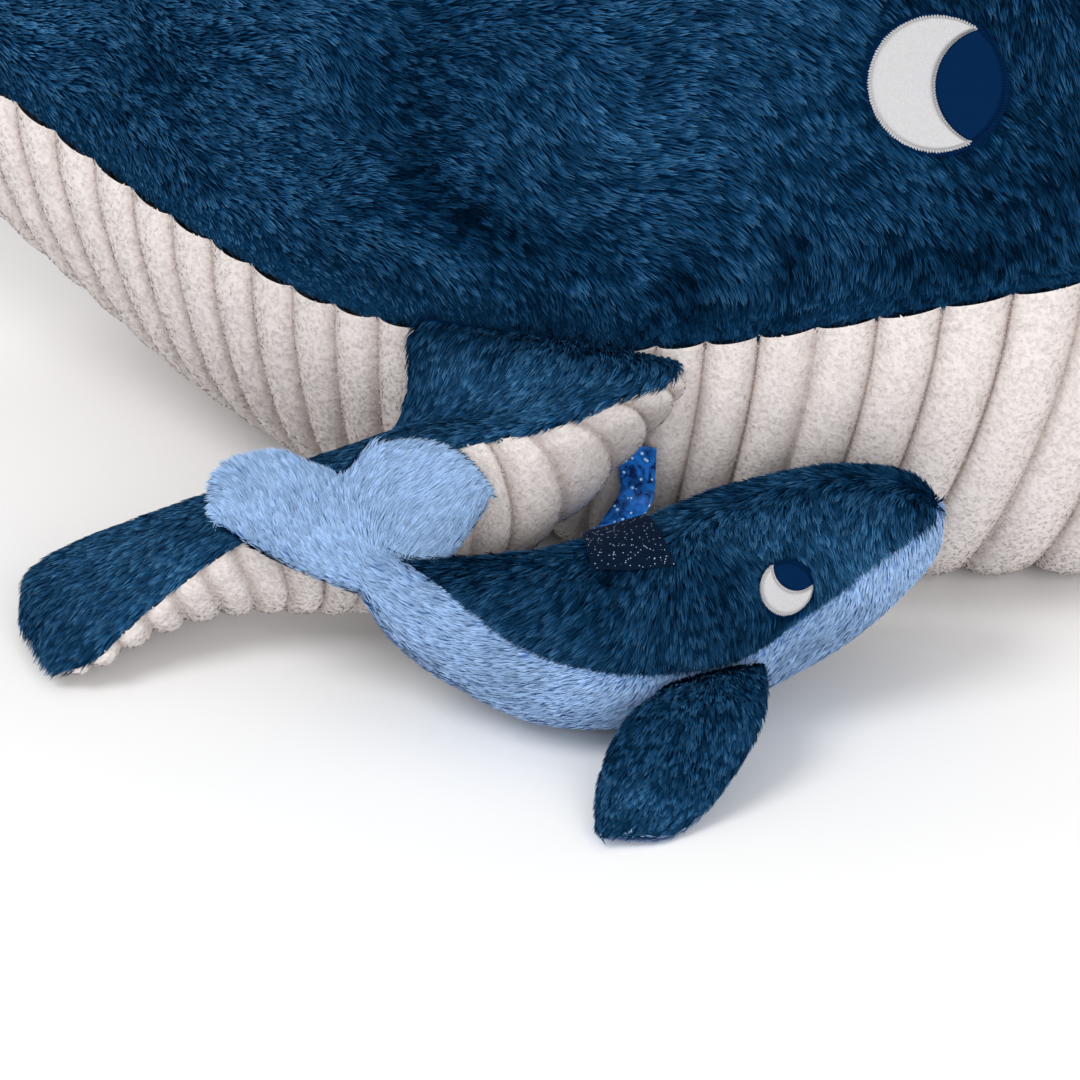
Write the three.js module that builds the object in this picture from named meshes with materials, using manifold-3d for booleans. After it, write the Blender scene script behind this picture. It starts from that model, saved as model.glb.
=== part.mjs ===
// A stuffed whale with a small whale tied on by a ribbon.
// Millimetres, +Z up. The belly rests on z = 0 and the head points along +X.

import * as THREE from 'three';
import Module from 'manifold-3d';
import { mergeVertices } from 'three/addons/utils/BufferGeometryUtils.js';

const wasm = await Module();
wasm.setup();

// Cloth, seams and clearances
const plushThickness = 3;
const seamGap = 0.3;
const fitGap = 0.3;
const fillingGap = 1.7;
const feltThickness = 1.4;

// Whale body
const bodyHalfWidth = 117;
const bodyHeight = 214;
const noseReach = 224;
const tailReach = 330;
const ribPitch = 13.2;
const ribPitchAtHead = 18;
const ribDepth = 1.3;

// Tail bend and flukes
const tailHingeX = -192;
const tailHingeZ = 124;
const tailHingeRadius = 73;
const flukeSpan = 210;
const flukeChord = 78;
const flukeThickness = 24;
const flukeSweep = 46;
const flukeNotch = 20;
const flukeDroop = 8;
const filmThickness = 1.4;
const filmWave = 0.5;
const filmRoom = 0.8;

// Flippers of the whale
const flipperFrontX = 36;
const flipperRearX = -40;
const flipperRootZ = 78;
const flipperRibDepth = 1.1;

// Eyes
const eyeRadius = 17.4;
const eyeX = 96;
const eyeAngle = 33;
const eyeTilt = 2;
const smallEyeRadius = 6.9;
const smallEyePlace = 0.73;
const smallEyeAngle = 22;
const smallEyeTilt = 30;
const smallFelt = 0.9;

// Rattle
const rattleRadius = 19;
const rattleWall = 2;
const rattleBallRadius = 4;
const rattleX = 20;
const rattleZ = 96;

// Small whale
const smallGirth = 26.5;
const smallPlush = 2.2;
const smallTailJoint = 0.13;
const smallFlukeSpan = 70;
const smallFlukeChord = 44;
const smallFlukeThickness = 10;
const smallFlukeSweep = 24;
const smallFlukeNotch = 9.5;

// Ribbon
const ribbonWidth = 10;
const ribbonThickness = 1;
const ribbonPlace = 0.51;
const patchThickness = 1.4;
const patchGap = 0.6;
const patchLength = 20;
const patchWidth = 26;

// Profile of the body: place along the body, then width, seam height, keel height and back
// height as shares, and the fullness of the belly's section.
const bodyProfile = [
  [-1.000, 0.115, 0.710, 0.650, 0.772, 2.4],
  [-0.909, 0.175, 0.687, 0.565, 0.800, 2.4],
  [-0.758, 0.285, 0.617, 0.425, 0.836, 2.4],
  [-0.606, 0.420, 0.537, 0.268, 0.876, 2.5],
  [-0.461, 0.582, 0.458, 0.128, 0.916, 2.6],
  [-0.333, 0.752, 0.402, 0.028, 0.953, 2.7],
  [-0.188, 0.906, 0.364, -0.018, 0.981, 3.0],
  [0.000, 0.991, 0.374, -0.030, 1.000, 3.2],
  [0.179, 1.000, 0.407, -0.031, 1.000, 3.2],
  [0.357, 0.966, 0.453, -0.032, 0.977, 3.2],
  [0.536, 0.897, 0.497, -0.030, 0.925, 3.2],
  [0.670, 0.803, 0.518, -0.022, 0.865, 3.2],
  [0.820, 0.700, 0.526, 0.030, 0.820, 3.0],
  [1.000, 0.600, 0.528, 0.120, 0.780, 2.8],
];
const backFullness = 2.2;
const noseStart = 150;
const noseRoundness = 0.5;

// How far a rib has slipped towards the tail where it reaches the keel.
const ribLeanRate = 0.235;
const ribLeanStart = -48;
const ribLeanLeast = -20;
const ribLeanEnd = 100;

// Shape helpers

const vec = (x, y, z) => new THREE.Vector3(x, y, z);
const mixNumber = (a, b, share) => a + (b - a) * share;
const steps = (count) => Array.from({ length: count + 1 }, (_, i) => i / count);
const spread = (from, to, count) => steps(count).map((share) => mixNumber(from, to, share));

// Smooth values between the rows of a table whose first column is the place.
function alongTable(rows, place) {
  const last = rows.length - 1;
  const at = Math.min(Math.max(place, rows[0][0]), rows[last][0]);
  let i = rows.findIndex((row, k) => k < last && at <= rows[k + 1][0]);
  if (i < 0) i = last - 1;
  const slope = (k, column) => {
    const before = rows[Math.max(k - 1, 0)];
    const after = rows[Math.min(k + 1, last)];
    return (after[column] - before[column]) / (after[0] - before[0]);
  };
  const width = rows[i + 1][0] - rows[i][0];
  const t = (at - rows[i][0]) / width;
  const keep = 2 * t ** 3 - 3 * t ** 2 + 1;
  const leave = t ** 3 - 2 * t ** 2 + t;
  const reach = t ** 3 - t ** 2;
  return rows[i].map((value, c) => (c === 0 ? at
    : keep * value + (1 - keep) * rows[i + 1][c]
      + width * (leave * slope(i, c) + reach * slope(i + 1, c))));
}

// A form is a swelling shape: section(place) gives its centre, side and up directions,
// half width, heights above and below the seam, and the fullness of its two halves.
// angle 0 is the seam on the side direction, 90 degrees the top. grow moves the whole skin
// out, and relief is a rib or valley on it, which the floor presses flat.
function formPoint(form, place, angle, grow = 0, lift = 0, relief = 0) {
  const s = form.section(place);
  const cos = Math.cos(angle);
  const sin = Math.sin(angle);
  const above = sin > 0;
  const power = 2 / (above ? s.fullAbove : s.fullBelow);
  const limit = (size) => Math.max(size + grow + relief, size * 0.35);
  const across = limit(s.half) * Math.sign(cos) * Math.abs(cos) ** power;
  const height = limit(above ? s.above : s.below) * Math.sign(sin) * Math.abs(sin) ** power;
  const point = s.centre.clone()
    .addScaledVector(s.side, across)
    .addScaledVector(s.up, height + lift);
  point.z = Math.max(point.z, Math.max(0, -grow));
  return point;
}

function geometryFrom(points, faces) {
  const geometry = new THREE.BufferGeometry();
  const flat = points.flatMap((p) => [p.x, p.y, p.z]);
  geometry.setAttribute('position', new THREE.Float32BufferAttribute(flat, 3));
  geometry.setIndex(faces.flat());
  return mergeVertices(geometry, 1e-4);
}

function signedVolume(points, faces) {
  return faces.reduce((sum, [a, b, c]) => sum
    + points[a].dot(points[b].clone().cross(points[c])) / 6, 0);
}

// Faces that close a ring of points, found on the plane that fits the ring best.
function capFaces(ring, start, flatten) {
  const flat = flatten ?? flattenRing(ring);
  return THREE.ShapeUtils.triangulateShape(flat, []).map((face) => face.map((k) => k + start));
}

function flattenRing(ring) {
  const normal = vec(0, 0, 0);
  ring.forEach((p, i) => normal.add(p.clone().cross(ring[(i + 1) % ring.length])));
  normal.normalize();
  const side = ring[1].clone().sub(ring[0]).normalize();
  const u = side.addScaledVector(normal, -side.dot(normal)).normalize();
  const v = normal.clone().cross(u);
  return ring.map((p) => new THREE.Vector2(p.dot(u), p.dot(v)));
}

// A closed solid through rings with the same number of points.
function loft(rings, flatten) {
  const count = rings[0].length;
  const points = rings.flat();
  const faces = [];
  for (let r = 0; r + 1 < rings.length; r += 1) {
    for (let i = 0; i < count; i += 1) {
      const a = r * count + i;
      const b = r * count + ((i + 1) % count);
      faces.push([a, b, b + count], [a, b + count, a + count]);
    }
  }
  const startCap = capFaces(rings[0], 0, flatten);
  const endCap = capFaces(rings[rings.length - 1], (rings.length - 1) * count, flatten);
  faces.push(...startCap, ...endCap);
  return solidFrom(points, orient(points, faces, startCap.length, endCap.length));
}

// Turns caps to agree with the walls, then the whole skin to point outwards.
function orient(points, faces, startCount, endCount) {
  const wallCount = faces.length - startCount - endCount;
  const edges = new Set(faces.slice(0, wallCount).flatMap(([a, b, c]) => (
    [`${a},${b}`, `${b},${c}`, `${c},${a}`])));
  const agree = (cap) => {
    const clash = cap.some(([a, b, c]) => edges.has(`${a},${b}`)
      || edges.has(`${b},${c}`) || edges.has(`${c},${a}`));
    return clash ? cap.map(([a, b, c]) => [c, b, a]) : cap;
  };
  const start = agree(faces.slice(wallCount, wallCount + startCount));
  const end = agree(faces.slice(wallCount + startCount));
  const all = [...faces.slice(0, wallCount), ...start, ...end];
  return signedVolume(points, all) < 0 ? all.map(([a, b, c]) => [c, b, a]) : all;
}

function solidFrom(points, faces) {
  return solidOf(geometryFrom(points, faces));
}

function solidOf(source) {
  const bare = source.clone();
  bare.deleteAttribute('normal');
  bare.deleteAttribute('uv');
  const merged = mergeVertices(bare, 1e-4);
  const triangles = [];
  const index = merged.index.array;
  for (let i = 0; i < index.length; i += 3) {
    const [a, b, c] = [index[i], index[i + 1], index[i + 2]];
    if (a !== b && b !== c && c !== a) triangles.push(a, b, c);
  }
  return new wasm.Manifold(new wasm.Mesh({
    numProp: 3,
    vertProperties: new Float32Array(merged.attributes.position.array),
    triVerts: new Uint32Array(triangles),
  }));
}

// A cut can leave crumbs where two curved skins graze each other, so the main piece is kept.
function largest(solid) {
  return solid.decompose().reduce((best, piece) => (
    piece.volume() > best.volume() ? piece : best));
}

function geometryOf(solid) {
  const mesh = solid.getMesh();
  const geometry = new THREE.BufferGeometry();
  geometry.setAttribute('position', new THREE.Float32BufferAttribute(mesh.vertProperties, 3));
  geometry.setIndex(new THREE.Uint32BufferAttribute(mesh.triVerts, 1));
  geometry.computeVertexNormals();
  return geometry;
}

function placed(geometry, x, y, z, turn = vec(0, 0, 0)) {
  const matrix = new THREE.Matrix4().makeRotationFromEuler(new THREE.Euler(turn.x, turn.y, turn.z));
  return solidOf(geometry.clone().applyMatrix4(matrix.setPosition(x, y, z)));
}

// A cloth panel: a shell that covers part of a form from one seam to the other.
// ribs(place, share) is how far the panel's outside stands off the form there.
function panel(form, places, { from, to, across, inner = 4, slip = () => 0, ribs = () => 0,
  lift = 0, thickness = plushThickness }) {
  const outerShares = steps(across);
  const innerShares = steps(inner).reverse();
  const rings = places.map((place, k) => [
    ...outerShares.map((share) => formPoint(form, place - slip(place, share),
      mixNumber(from, to, share), 0, lift, ribs(k, share))),
    ...innerShares.map((share) => formPoint(form, place - slip(place, share),
      mixNumber(from, to, share), -thickness, lift)),
  ]);
  const turn = to - from;
  const flat = [
    ...outerShares.map((share) => [1, share]),
    ...innerShares.map((share) => [0.8, share]),
  ].map(([radius, share]) => new THREE.Vector2(
    radius * Math.cos(from + turn * share), radius * Math.sin(from + turn * share)));
  return loft(rings, flat);
}

// The stuffing of a form: a closed solid that follows the inside of its two panels.
function filling(form, places, { above, below, slip = () => 0, thickness = plushThickness }) {
  const inside = -thickness - fillingGap;
  const rings = places.map((place) => [
    ...steps(above).map((share) => formPoint(form, place, Math.PI * share, inside)),
    ...steps(below).slice(1, -1).reverse().map((share) => (
      formPoint(form, place - slip(place, share), -Math.PI * share, inside))),
  ]);
  return loft(rings);
}

// The outside of a form grown by a clearance that may change around it.
function envelope(form, places, around, grow) {
  const turns = steps(around).slice(0, -1);
  return loft(places.map((place) => turns.map((share) => (
    formPoint(form, place, 2 * Math.PI * share, grow(share))))));
}

const ribWave = (depth) => (k, share) => (
  (k % 2 ? depth : -depth) * Math.min(1, Math.sin(Math.PI * share) * 4));

// Whale body

const bodyRows = bodyProfile.map(([along, ...shares]) => (
  [along * (along > 0 ? noseReach : tailReach), ...shares]));

function bodySection(x) {
  const [, width, seam, keel, top, fullBelow] = alongTable(bodyRows, x);
  const q = Math.min(Math.max((x - noseStart) / (noseReach - noseStart), 0), 1);
  const shrink = Math.max(1 - q * q, 0) ** noseRoundness;
  return {
    centre: vec(x, 0, seam * bodyHeight),
    side: vec(0, -1, 0),
    up: vec(0, 0, 1),
    half: width * bodyHalfWidth * shrink,
    above: (top - seam) * bodyHeight * shrink,
    below: (seam - keel) * bodyHeight * shrink,
    fullAbove: backFullness,
    fullBelow,
  };
}

const bodyForm = { section: bodySection };

function ribSlip(x, share) {
  const lean = Math.max(ribLeanRate * (x - ribLeanStart), ribLeanLeast);
  const q = Math.max((x - ribLeanEnd) / (noseReach - ribLeanEnd), 0);
  return lean * Math.max(1 - q * q, 0) * Math.sin(Math.PI * share);
}

// Two sections for each rib: one in its valley and one on its crest.
function ribPlaces(from, to) {
  const count = 2 * Math.round((to - from) / ribPitch);
  return spread(from, to, count);
}

// Along the body the ribs spread towards the head.
const ribSpreadStart = 10;
const ribSpreadEnd = 130;

function bodyRibPlaces(from, to) {
  const places = [from];
  while (places[places.length - 1] < to) {
    const x = places[places.length - 1];
    const share = THREE.MathUtils.smoothstep(x, ribSpreadStart, ribSpreadEnd);
    places.push(x + mixNumber(ribPitch, ribPitchAtHead, share) / 2);
  }
  return places.slice(0, -1);
}

// The tail turns inside a round joint face, so body and tail clear each other.
function tailRegion(grow) {
  const radius = tailHingeRadius + grow;
  const wide = 2 * bodyHalfWidth + 40;
  const drum = new THREE.CylinderGeometry(radius, radius, wide, 80);
  const behind = new THREE.BoxGeometry(tailReach, wide, 3 * bodyHeight);
  return placed(drum, tailHingeX, 0, tailHingeZ)
    .add(placed(behind, tailHingeX - tailReach / 2 - (grow > 0 ? 0 : fitGap), 0, bodyHeight / 2));
}

const flukeOverlap = 6;
const flukeHingeX = -tailReach - flukeThickness / 2 + flukeOverlap;
const flukeHingeZ = bodySection(-tailReach).centre.z;

function flukeSocket() {
  const radius = flukeThickness / 2 + filmRoom + fitGap / 2;
  const drum = new THREE.CylinderGeometry(radius, radius, flukeSpan, 32);
  const behind = new THREE.BoxGeometry(tailReach, flukeSpan, bodyHeight);
  return placed(drum, flukeHingeX, 0, flukeHingeZ)
    .add(placed(behind, flukeHingeX - tailReach / 2, 0, flukeHingeZ));
}

const everyOther = (places) => places.filter((place, k) => k % 2 === 0 || k === places.length - 1);
const ribRings = bodyRibPlaces(-tailReach - 26, noseReach - 6);
const bodyRearX = -246;
const firstBodyRing = 2 * Math.floor(ribRings.findIndex((x) => x > bodyRearX) / 2);
const bodyBellyPlaces = [...ribRings.slice(firstBodyRing), noseReach - 0.8];
// The back needs fewer sections where it is nearly straight.
const backFacets = 10;
const backDetailX = 50;
const bodyBackPlaces = bodyBellyPlaces.filter((x, k) => (
  k % (x > backDetailX ? 2 : 4) === 0 || k === bodyBellyPlaces.length - 1));
const tailRegionSolid = tailRegion(0);
const bodyCutter = tailRegion(fitGap);

const bodyBack = panel(bodyForm, bodyBackPlaces,
  { from: Math.PI, to: 0, across: backFacets, inner: 5, lift: seamGap / 2 }).subtract(bodyCutter);
const bodyBelly = panel(bodyForm, bodyBellyPlaces, {
  from: 0,
  to: -Math.PI,
  across: 8,
  inner: 4,
  slip: ribSlip,
  ribs: ribWave(ribDepth),
  lift: -seamGap / 2,
}).subtract(bodyCutter);

const rattleWell = placed(
  new THREE.CylinderGeometry(rattleRadius + 2 * fitGap, rattleRadius + 2 * fitGap, rattleZ, 12),
  rattleX, 0, rattleZ / 2, vec(Math.PI / 2, 0, 0));
const rattleRoom = placed(new THREE.SphereGeometry(rattleRadius + 2 * fitGap, 12, 8),
  rattleX, 0, rattleZ);
const bodyFillingPlaces = bodyBackPlaces.filter((x) => x < noseReach - 12);
const bodyFilling = filling(bodyForm, bodyFillingPlaces, { above: 5, below: 4, slip: ribSlip })
  .subtract(bodyCutter).subtract(rattleWell.add(rattleRoom));

// What the flippers are cut back from: the body with its ribs and a running gap.
const bodyEnvelope = envelope(bodyForm, bodyBellyPlaces, 48, (share) => (
  fitGap + (share > 0.5 ? ribDepth * Math.min(1, Math.sin(Math.PI * (2 * share - 1)) * 4) : 0)));

// Tail stock

const tailFrontX = tailHingeX + tailHingeRadius + 2;
const tailBellyPlaces = ribRings.filter((x) => x < tailFrontX + ribPitch / 2);
const tailPlaces = everyOther(tailBellyPlaces);
const tailTrim = (solid) => solid.intersect(tailRegionSolid).subtract(flukeSocket());
const tailBack = tailTrim(panel(bodyForm, tailPlaces,
  { from: Math.PI, to: 0, across: 6, inner: 3, lift: seamGap / 2 }));
const tailBelly = tailTrim(panel(bodyForm, tailBellyPlaces, {
  from: 0,
  to: -Math.PI,
  across: 6,
  inner: 3,
  slip: ribSlip,
  ribs: ribWave(ribDepth),
  lift: -seamGap / 2,
}));
const tailFilling = tailTrim(filling(bodyForm, tailBellyPlaces,
  { above: 3, below: 3, slip: ribSlip }));

// Flukes: sections across the span. The front edge is round about the hinge line, so it can
// turn in the end of the tail stock. Towards the tips the chord and the thickness taper.
const flukeTaper = 0.38;
const flukeThinning = 0.35;
const flukeNotchReach = 3.2;
const flukeTipChord = 0.12;
const flukeTipThickness = 0.2;

function flukeForm({ hinge, forward, across, up, span, chord, thickness, sweep, notch, droop }) {
  const section = (place) => {
    const out = Math.min(Math.abs(place) / (span / 2), 1);
    const tip = Math.max(1 - out ** 4, 0) ** 0.5;
    const front = thickness / 2 - sweep * out ** 1.5;
    const cut = notch * Math.max(1 - out * flukeNotchReach, 0);
    const length = (chord - cut) * (1 - flukeTaper * out) * Math.max(tip, flukeTipChord);
    const thick = (thickness / 2) * (1 - flukeThinning * out) * Math.max(tip, flukeTipThickness);
    const centre = hinge.clone().addScaledVector(forward, front - length / 2)
      .addScaledVector(across, place).addScaledVector(up, -droop * out * out);
    return {
      centre,
      side: forward,
      up,
      half: length / 2,
      above: thick,
      below: thick,
      fullAbove: 2,
      fullBelow: 2,
    };
  };
  return { section };
}

const whaleFlukes = flukeForm({
  hinge: vec(flukeHingeX, 0, flukeHingeZ),
  forward: vec(1, 0, 0),
  across: vec(0, 1, 0),
  up: vec(0, 0, 1),
  span: flukeSpan,
  chord: flukeChord,
  thickness: flukeThickness,
  sweep: flukeSweep,
  notch: flukeNotch,
  droop: flukeDroop,
});
const flukeRibPlaces = ribPlaces(-flukeSpan / 2 + 0.5, flukeSpan / 2 - 0.5);
const flukeShell = { inner: 2, thickness: 0.45 * flukeThickness / 2 };
const flukesTop = panel(whaleFlukes, everyOther(flukeRibPlaces),
  { from: Math.PI, to: 0, across: 6, lift: filmRoom, ...flukeShell });
const flukesUnder = panel(whaleFlukes, flukeRibPlaces, {
  from: 0,
  to: -Math.PI,
  across: 5,
  ribs: (k, share) => Math.min(ribWave(ribDepth)(k, share), 0),
  lift: -filmRoom,
  ...flukeShell,
});
const crinkleFilm = loft(spread(-0.75, 0.75, 12).map((share, k) => {
  const { centre, half } = whaleFlukes.section(share * flukeSpan / 2);
  const wave = filmWave * (k % 2 ? 1 : -1);
  const corner = (along, height) => vec(centre.x + along * half, centre.y, centre.z + height);
  return [corner(-0.55, wave - filmThickness / 2), corner(0.5, -wave - filmThickness / 2),
    corner(0.5, -wave + filmThickness / 2), corner(-0.55, wave + filmThickness / 2)];
}));

// Whale flippers: leading and trailing seams that run from the body's side to the floor.
// Columns: place along the flipper, then x, reach out from the body and share of the root's
// height of the leading seam, the same of the trailing seam, and how far the top and the
// under side bulge.
const flipperProfile = [
  [0.00, 36, 0.0, 1.00, -40, 0.0, 1.00, 1.5, 8],
  [0.07, 36, 5.0, 1.00, -41, 5.0, 0.96, 5, 18],
  [0.16, 25, 13, 0.99, -40, 9, 0.83, 7, 28],
  [0.28, 6, 23, 0.91, -43, 13, 0.67, 8, 34],
  [0.42, -17, 30, 0.84, -56, 16, 0.52, 9, 36],
  [0.57, -45, 39, 0.68, -77, 19, 0.41, 9, 34],
  [0.72, -74, 48, 0.47, -101, 22, 0.31, 8, 25],
  [0.86, -95, 61, 0.26, -125, 28, 0.21, 7, 15],
  [0.95, -106, 71, 0.13, -138, 38, 0.13, 6, 8],
  [1.00, -115, 73, 0.07, -136, 53, 0.07, 3, 4],
];

// A flat limb between two seams. edges(place) gives the leading and the trailing seam point
// and how far the top and the under side bulge there; hand is -1 on the right side.
function limbForm(edges, hand) {
  const section = (place) => {
    const { lead, trail, crown, bulge } = edges(place);
    const before = edges(Math.max(place - 0.04, 0));
    const after = edges(Math.min(place + 0.04, 1));
    const span = after.lead.clone().add(after.trail).sub(before.lead).sub(before.trail);
    const side = lead.clone().sub(trail);
    const half = side.length() / 2;
    side.normalize();
    return {
      centre: lead.clone().add(trail).multiplyScalar(0.5),
      side,
      up: span.cross(side).multiplyScalar(-hand).normalize(),
      half,
      above: crown,
      below: bulge,
      fullAbove: 2.2,
      fullBelow: 2.2,
    };
  };
  return { section };
}

function flipperForm(hand) {
  const seamPoint = (rootX, x, out, height) => vec(x,
    hand * (bodySection(rootX).half + fitGap + out), height * flipperRootZ);
  return limbForm((place) => {
    const row = alongTable(flipperProfile, place);
    return {
      lead: seamPoint(flipperFrontX, ...row.slice(1, 4)),
      trail: seamPoint(flipperRearX, ...row.slice(4, 7)),
      crown: row[7],
      bulge: row[8],
    };
  }, hand);
}

const flipperRibPlaces = [0, 0.035, 0.07, ...spread(0.11, 0.95, 18), 1];

function flipper(hand) {
  const form = flipperForm(hand);
  const last = flipperRibPlaces.length - 3;
  const ribs = (k, share) => (k < 3 || k > last ? 0 : ribWave(flipperRibDepth)(k, share));
  const core = flipperRibPlaces.slice(3, -2);
  const trim = (solid) => largest(solid.subtract(bodyEnvelope));
  return {
    top: trim(panel(form, flipperRibPlaces,
      { from: Math.PI, to: 0, across: 4, inner: 2, lift: seamGap / 2 })),
    under: trim(panel(form, flipperRibPlaces,
      { from: 0, to: -Math.PI, across: 5, inner: 2, ribs, lift: -seamGap / 2 })),
    filling: trim(filling(form, core, { above: 2, below: 2 })),
  };
}

// Felt and patches: a flat outline punched through a thin layer that lies on a form.

function layerOn(form, places, across, thickness, gap = fitGap) {
  const turns = steps(across).map((share) => Math.PI * (1 - share));
  const skin = (grow) => loft(places.map((place) => [
    ...turns.map((angle) => formPoint(form, place, angle, grow, seamGap / 2)),
    formPoint(form, place, -Math.PI / 2, 0),
  ]));
  return skin(gap + thickness).subtract(skin(gap));
}

// The frame of a spot on a form: along it, over it and out of it.
function spotOn(form, place, angle, step) {
  const here = formPoint(form, place, angle);
  const along = formPoint(form, place + step, angle).sub(formPoint(form, place - step, angle))
    .normalize();
  const over = formPoint(form, place, angle + 0.04).sub(formPoint(form, place, angle - 0.04));
  const out = along.clone().cross(over).normalize();
  return { here, along, over: out.clone().cross(along), out };
}

function punch(outline, spot, depth, tilt) {
  const shape = new THREE.Shape(outline.map(([u, v]) => new THREE.Vector2(u, v)));
  const tool = new THREE.ExtrudeGeometry(shape, { depth, bevelEnabled: false, steps: 1 });
  tool.translate(0, 0, -depth / 2).rotateZ(tilt);
  const turn = new THREE.Matrix4().makeBasis(spot.along, spot.over, spot.out)
    .setPosition(spot.here);
  return solidOf(tool.applyMatrix4(turn));
}

// The dark disc covers the front of the eye, so the white left behind it is a crescent.
function eyeOutlines(radius, detail) {
  const reach = 0.845 * radius;
  const bite = 0.89 * radius;
  const crossX = (radius ** 2 - bite ** 2 + reach ** 2) / (2 * reach);
  const crossY = Math.sqrt(radius ** 2 - crossX ** 2);
  const outer = Math.atan2(crossY, crossX);
  const inner = Math.atan2(crossY, crossX - reach);
  const arc = (centre, size, from, to, count) => spread(from, to, count)
    .map((a) => [centre + size * Math.cos(a), size * Math.sin(a)]);
  const trim = fitGap / radius;
  const white = [
    ...arc(0, radius, outer + trim, 2 * Math.PI - outer - trim, 2 * detail),
    ...arc(reach, bite + fitGap, 2 * Math.PI - inner - trim, inner + trim, detail),
  ];
  const dark = [
    ...arc(0, radius, -outer + trim, outer - trim, detail),
    ...arc(reach, bite, inner + trim, 2 * Math.PI - inner - trim, detail),
  ];
  return { white, dark };
}

function eye(layer, spot, radius, tilt, detail) {
  const { white, dark } = eyeOutlines(radius, detail);
  const depth = radius;
  return {
    white: layer.intersect(punch(white, spot, depth, tilt)),
    dark: layer.intersect(punch(dark, spot, depth, tilt)),
  };
}

// The same spot on the other side of a body that is even about y = 0.
function mirrored(geometrySolid) {
  const geometry = geometryOf(geometrySolid);
  geometry.scale(1, -1, 1);
  const index = geometry.index.array;
  for (let i = 0; i < index.length; i += 3) {
    [index[i], index[i + 1]] = [index[i + 1], index[i]];
  }
  return solidOf(geometry);
}

const rad = THREE.MathUtils.degToRad;
const eyePlaces = bodyBackPlaces.filter((x) => Math.abs(x - eyeX) < 3 * eyeRadius);
const rightEye = eye(layerOn(bodyForm, eyePlaces, backFacets, feltThickness),
  spotOn(bodyForm, eyeX, rad(eyeAngle), 2), eyeRadius, rad(eyeTilt), 7);

// Rattle: two shells that meet on a level seam, with loose balls inside.

function rattleShell(upper) {
  const outer = placed(new THREE.SphereGeometry(rattleRadius, 12, 6), rattleX, 0, rattleZ);
  const room = placed(new THREE.SphereGeometry(rattleRadius - rattleWall, 12, 6),
    rattleX, 0, rattleZ);
  const half = 2 * rattleRadius;
  const away = new THREE.BoxGeometry(2 * half, 2 * half, half);
  const shift = (half / 2) - seamGap / 2;
  return outer.subtract(room).subtract(
    placed(away, rattleX, 0, rattleZ + (upper ? -shift : shift)));
}

// The balls lie together in the bottom of the shell.
const ballCircle = 5;
const ballReach = rattleRadius - rattleWall - rattleBallRadius - 4 * fitGap;
const ballRest = rattleZ - Math.sqrt(ballReach ** 2 - ballCircle ** 2);
const rattleBalls = [0, 1, 2].map((k) => {
  const turn = (k / 3) * 2 * Math.PI;
  return placed(new THREE.SphereGeometry(rattleBallRadius, 8, 6),
    rattleX + ballCircle * Math.cos(turn), ballCircle * Math.sin(turn), ballRest);
});

// Small whale. Columns: place from tail to nose, then x, reach out from the whale's side and
// height of its centre line, half width, back height and belly depth as shares of its girth,
// and its roll in degrees.
const smallProfile = [
  [0.00, -33, 55, 43, 0.30, 0.28, 0.30, 92],
  [0.08, -28, 56.5, 38.5, 0.38, 0.36, 0.38, 84],
  [0.16, -20, 56.5, 33.5, 0.52, 0.50, 0.52, 66],
  [0.26, -6, 55, 28.5, 0.70, 0.70, 0.70, 40],
  [0.42, 18, 51, 25.5, 0.92, 0.93, 0.93, 12],
  [0.57, 43, 39, 27.5, 1.02, 1.02, 1.00, 0],
  [0.70, 63, 25, 34, 1.00, 1.00, 0.98, 0],
  [0.82, 82, 16.5, 43, 0.83, 0.86, 0.84, 0],
  [0.91, 95, 13.5, 50, 0.60, 0.62, 0.62, 0],
  [0.97, 103, 12.5, 54.5, 0.38, 0.38, 0.38, 0],
  [1.00, 107, 12, 56.5, 0.12, 0.12, 0.12, 0],
];

function smallCentre(place) {
  const [, x, out, z] = alongTable(smallProfile, place);
  return vec(x, -bodyHalfWidth - out, z);
}

function smallSection(place) {
  const row = alongTable(smallProfile, place);
  const centre = smallCentre(place);
  const forward = smallCentre(Math.min(place + 0.02, 1))
    .sub(smallCentre(Math.max(place - 0.02, 0))).normalize();
  const right = forward.clone().cross(vec(0, 0, 1)).normalize();
  const level = right.clone().cross(forward).normalize();
  const roll = rad(row[7]);
  const up = level.clone().multiplyScalar(Math.cos(roll)).addScaledVector(right, -Math.sin(roll));
  const side = forward.clone().cross(up).normalize();
  return {
    centre,
    side,
    up,
    half: row[4] * smallGirth,
    above: row[5] * smallGirth,
    below: row[6] * smallGirth,
    fullAbove: 2.1,
    fullBelow: 2.1,
  };
}

const smallForm = { section: smallSection };
const smallJointRadius = smallSection(smallTailJoint).half + 1.5;

// The joint drum lies along the small whale's side direction.
function smallTailRegion(grow) {
  const { centre, side } = smallSection(smallTailJoint);
  const radius = smallJointRadius + grow;
  const drum = new THREE.CylinderGeometry(radius, radius, 90, 28);
  const block = new THREE.BoxGeometry(90, 90, 90).translate(0, 0, 45 + (grow > 0 ? 0 : fitGap));
  const forward = smallCentre(smallTailJoint + 0.02).sub(smallCentre(smallTailJoint - 0.02));
  const basis = new THREE.Matrix4().makeBasis(
    forward.clone().normalize().cross(side).normalize(), side, forward.normalize().negate());
  const turn = basis.setPosition(centre.x, centre.y, centre.z);
  return solidOf(drum.applyMatrix4(turn)).add(solidOf(block.applyMatrix4(turn)));
}

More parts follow.
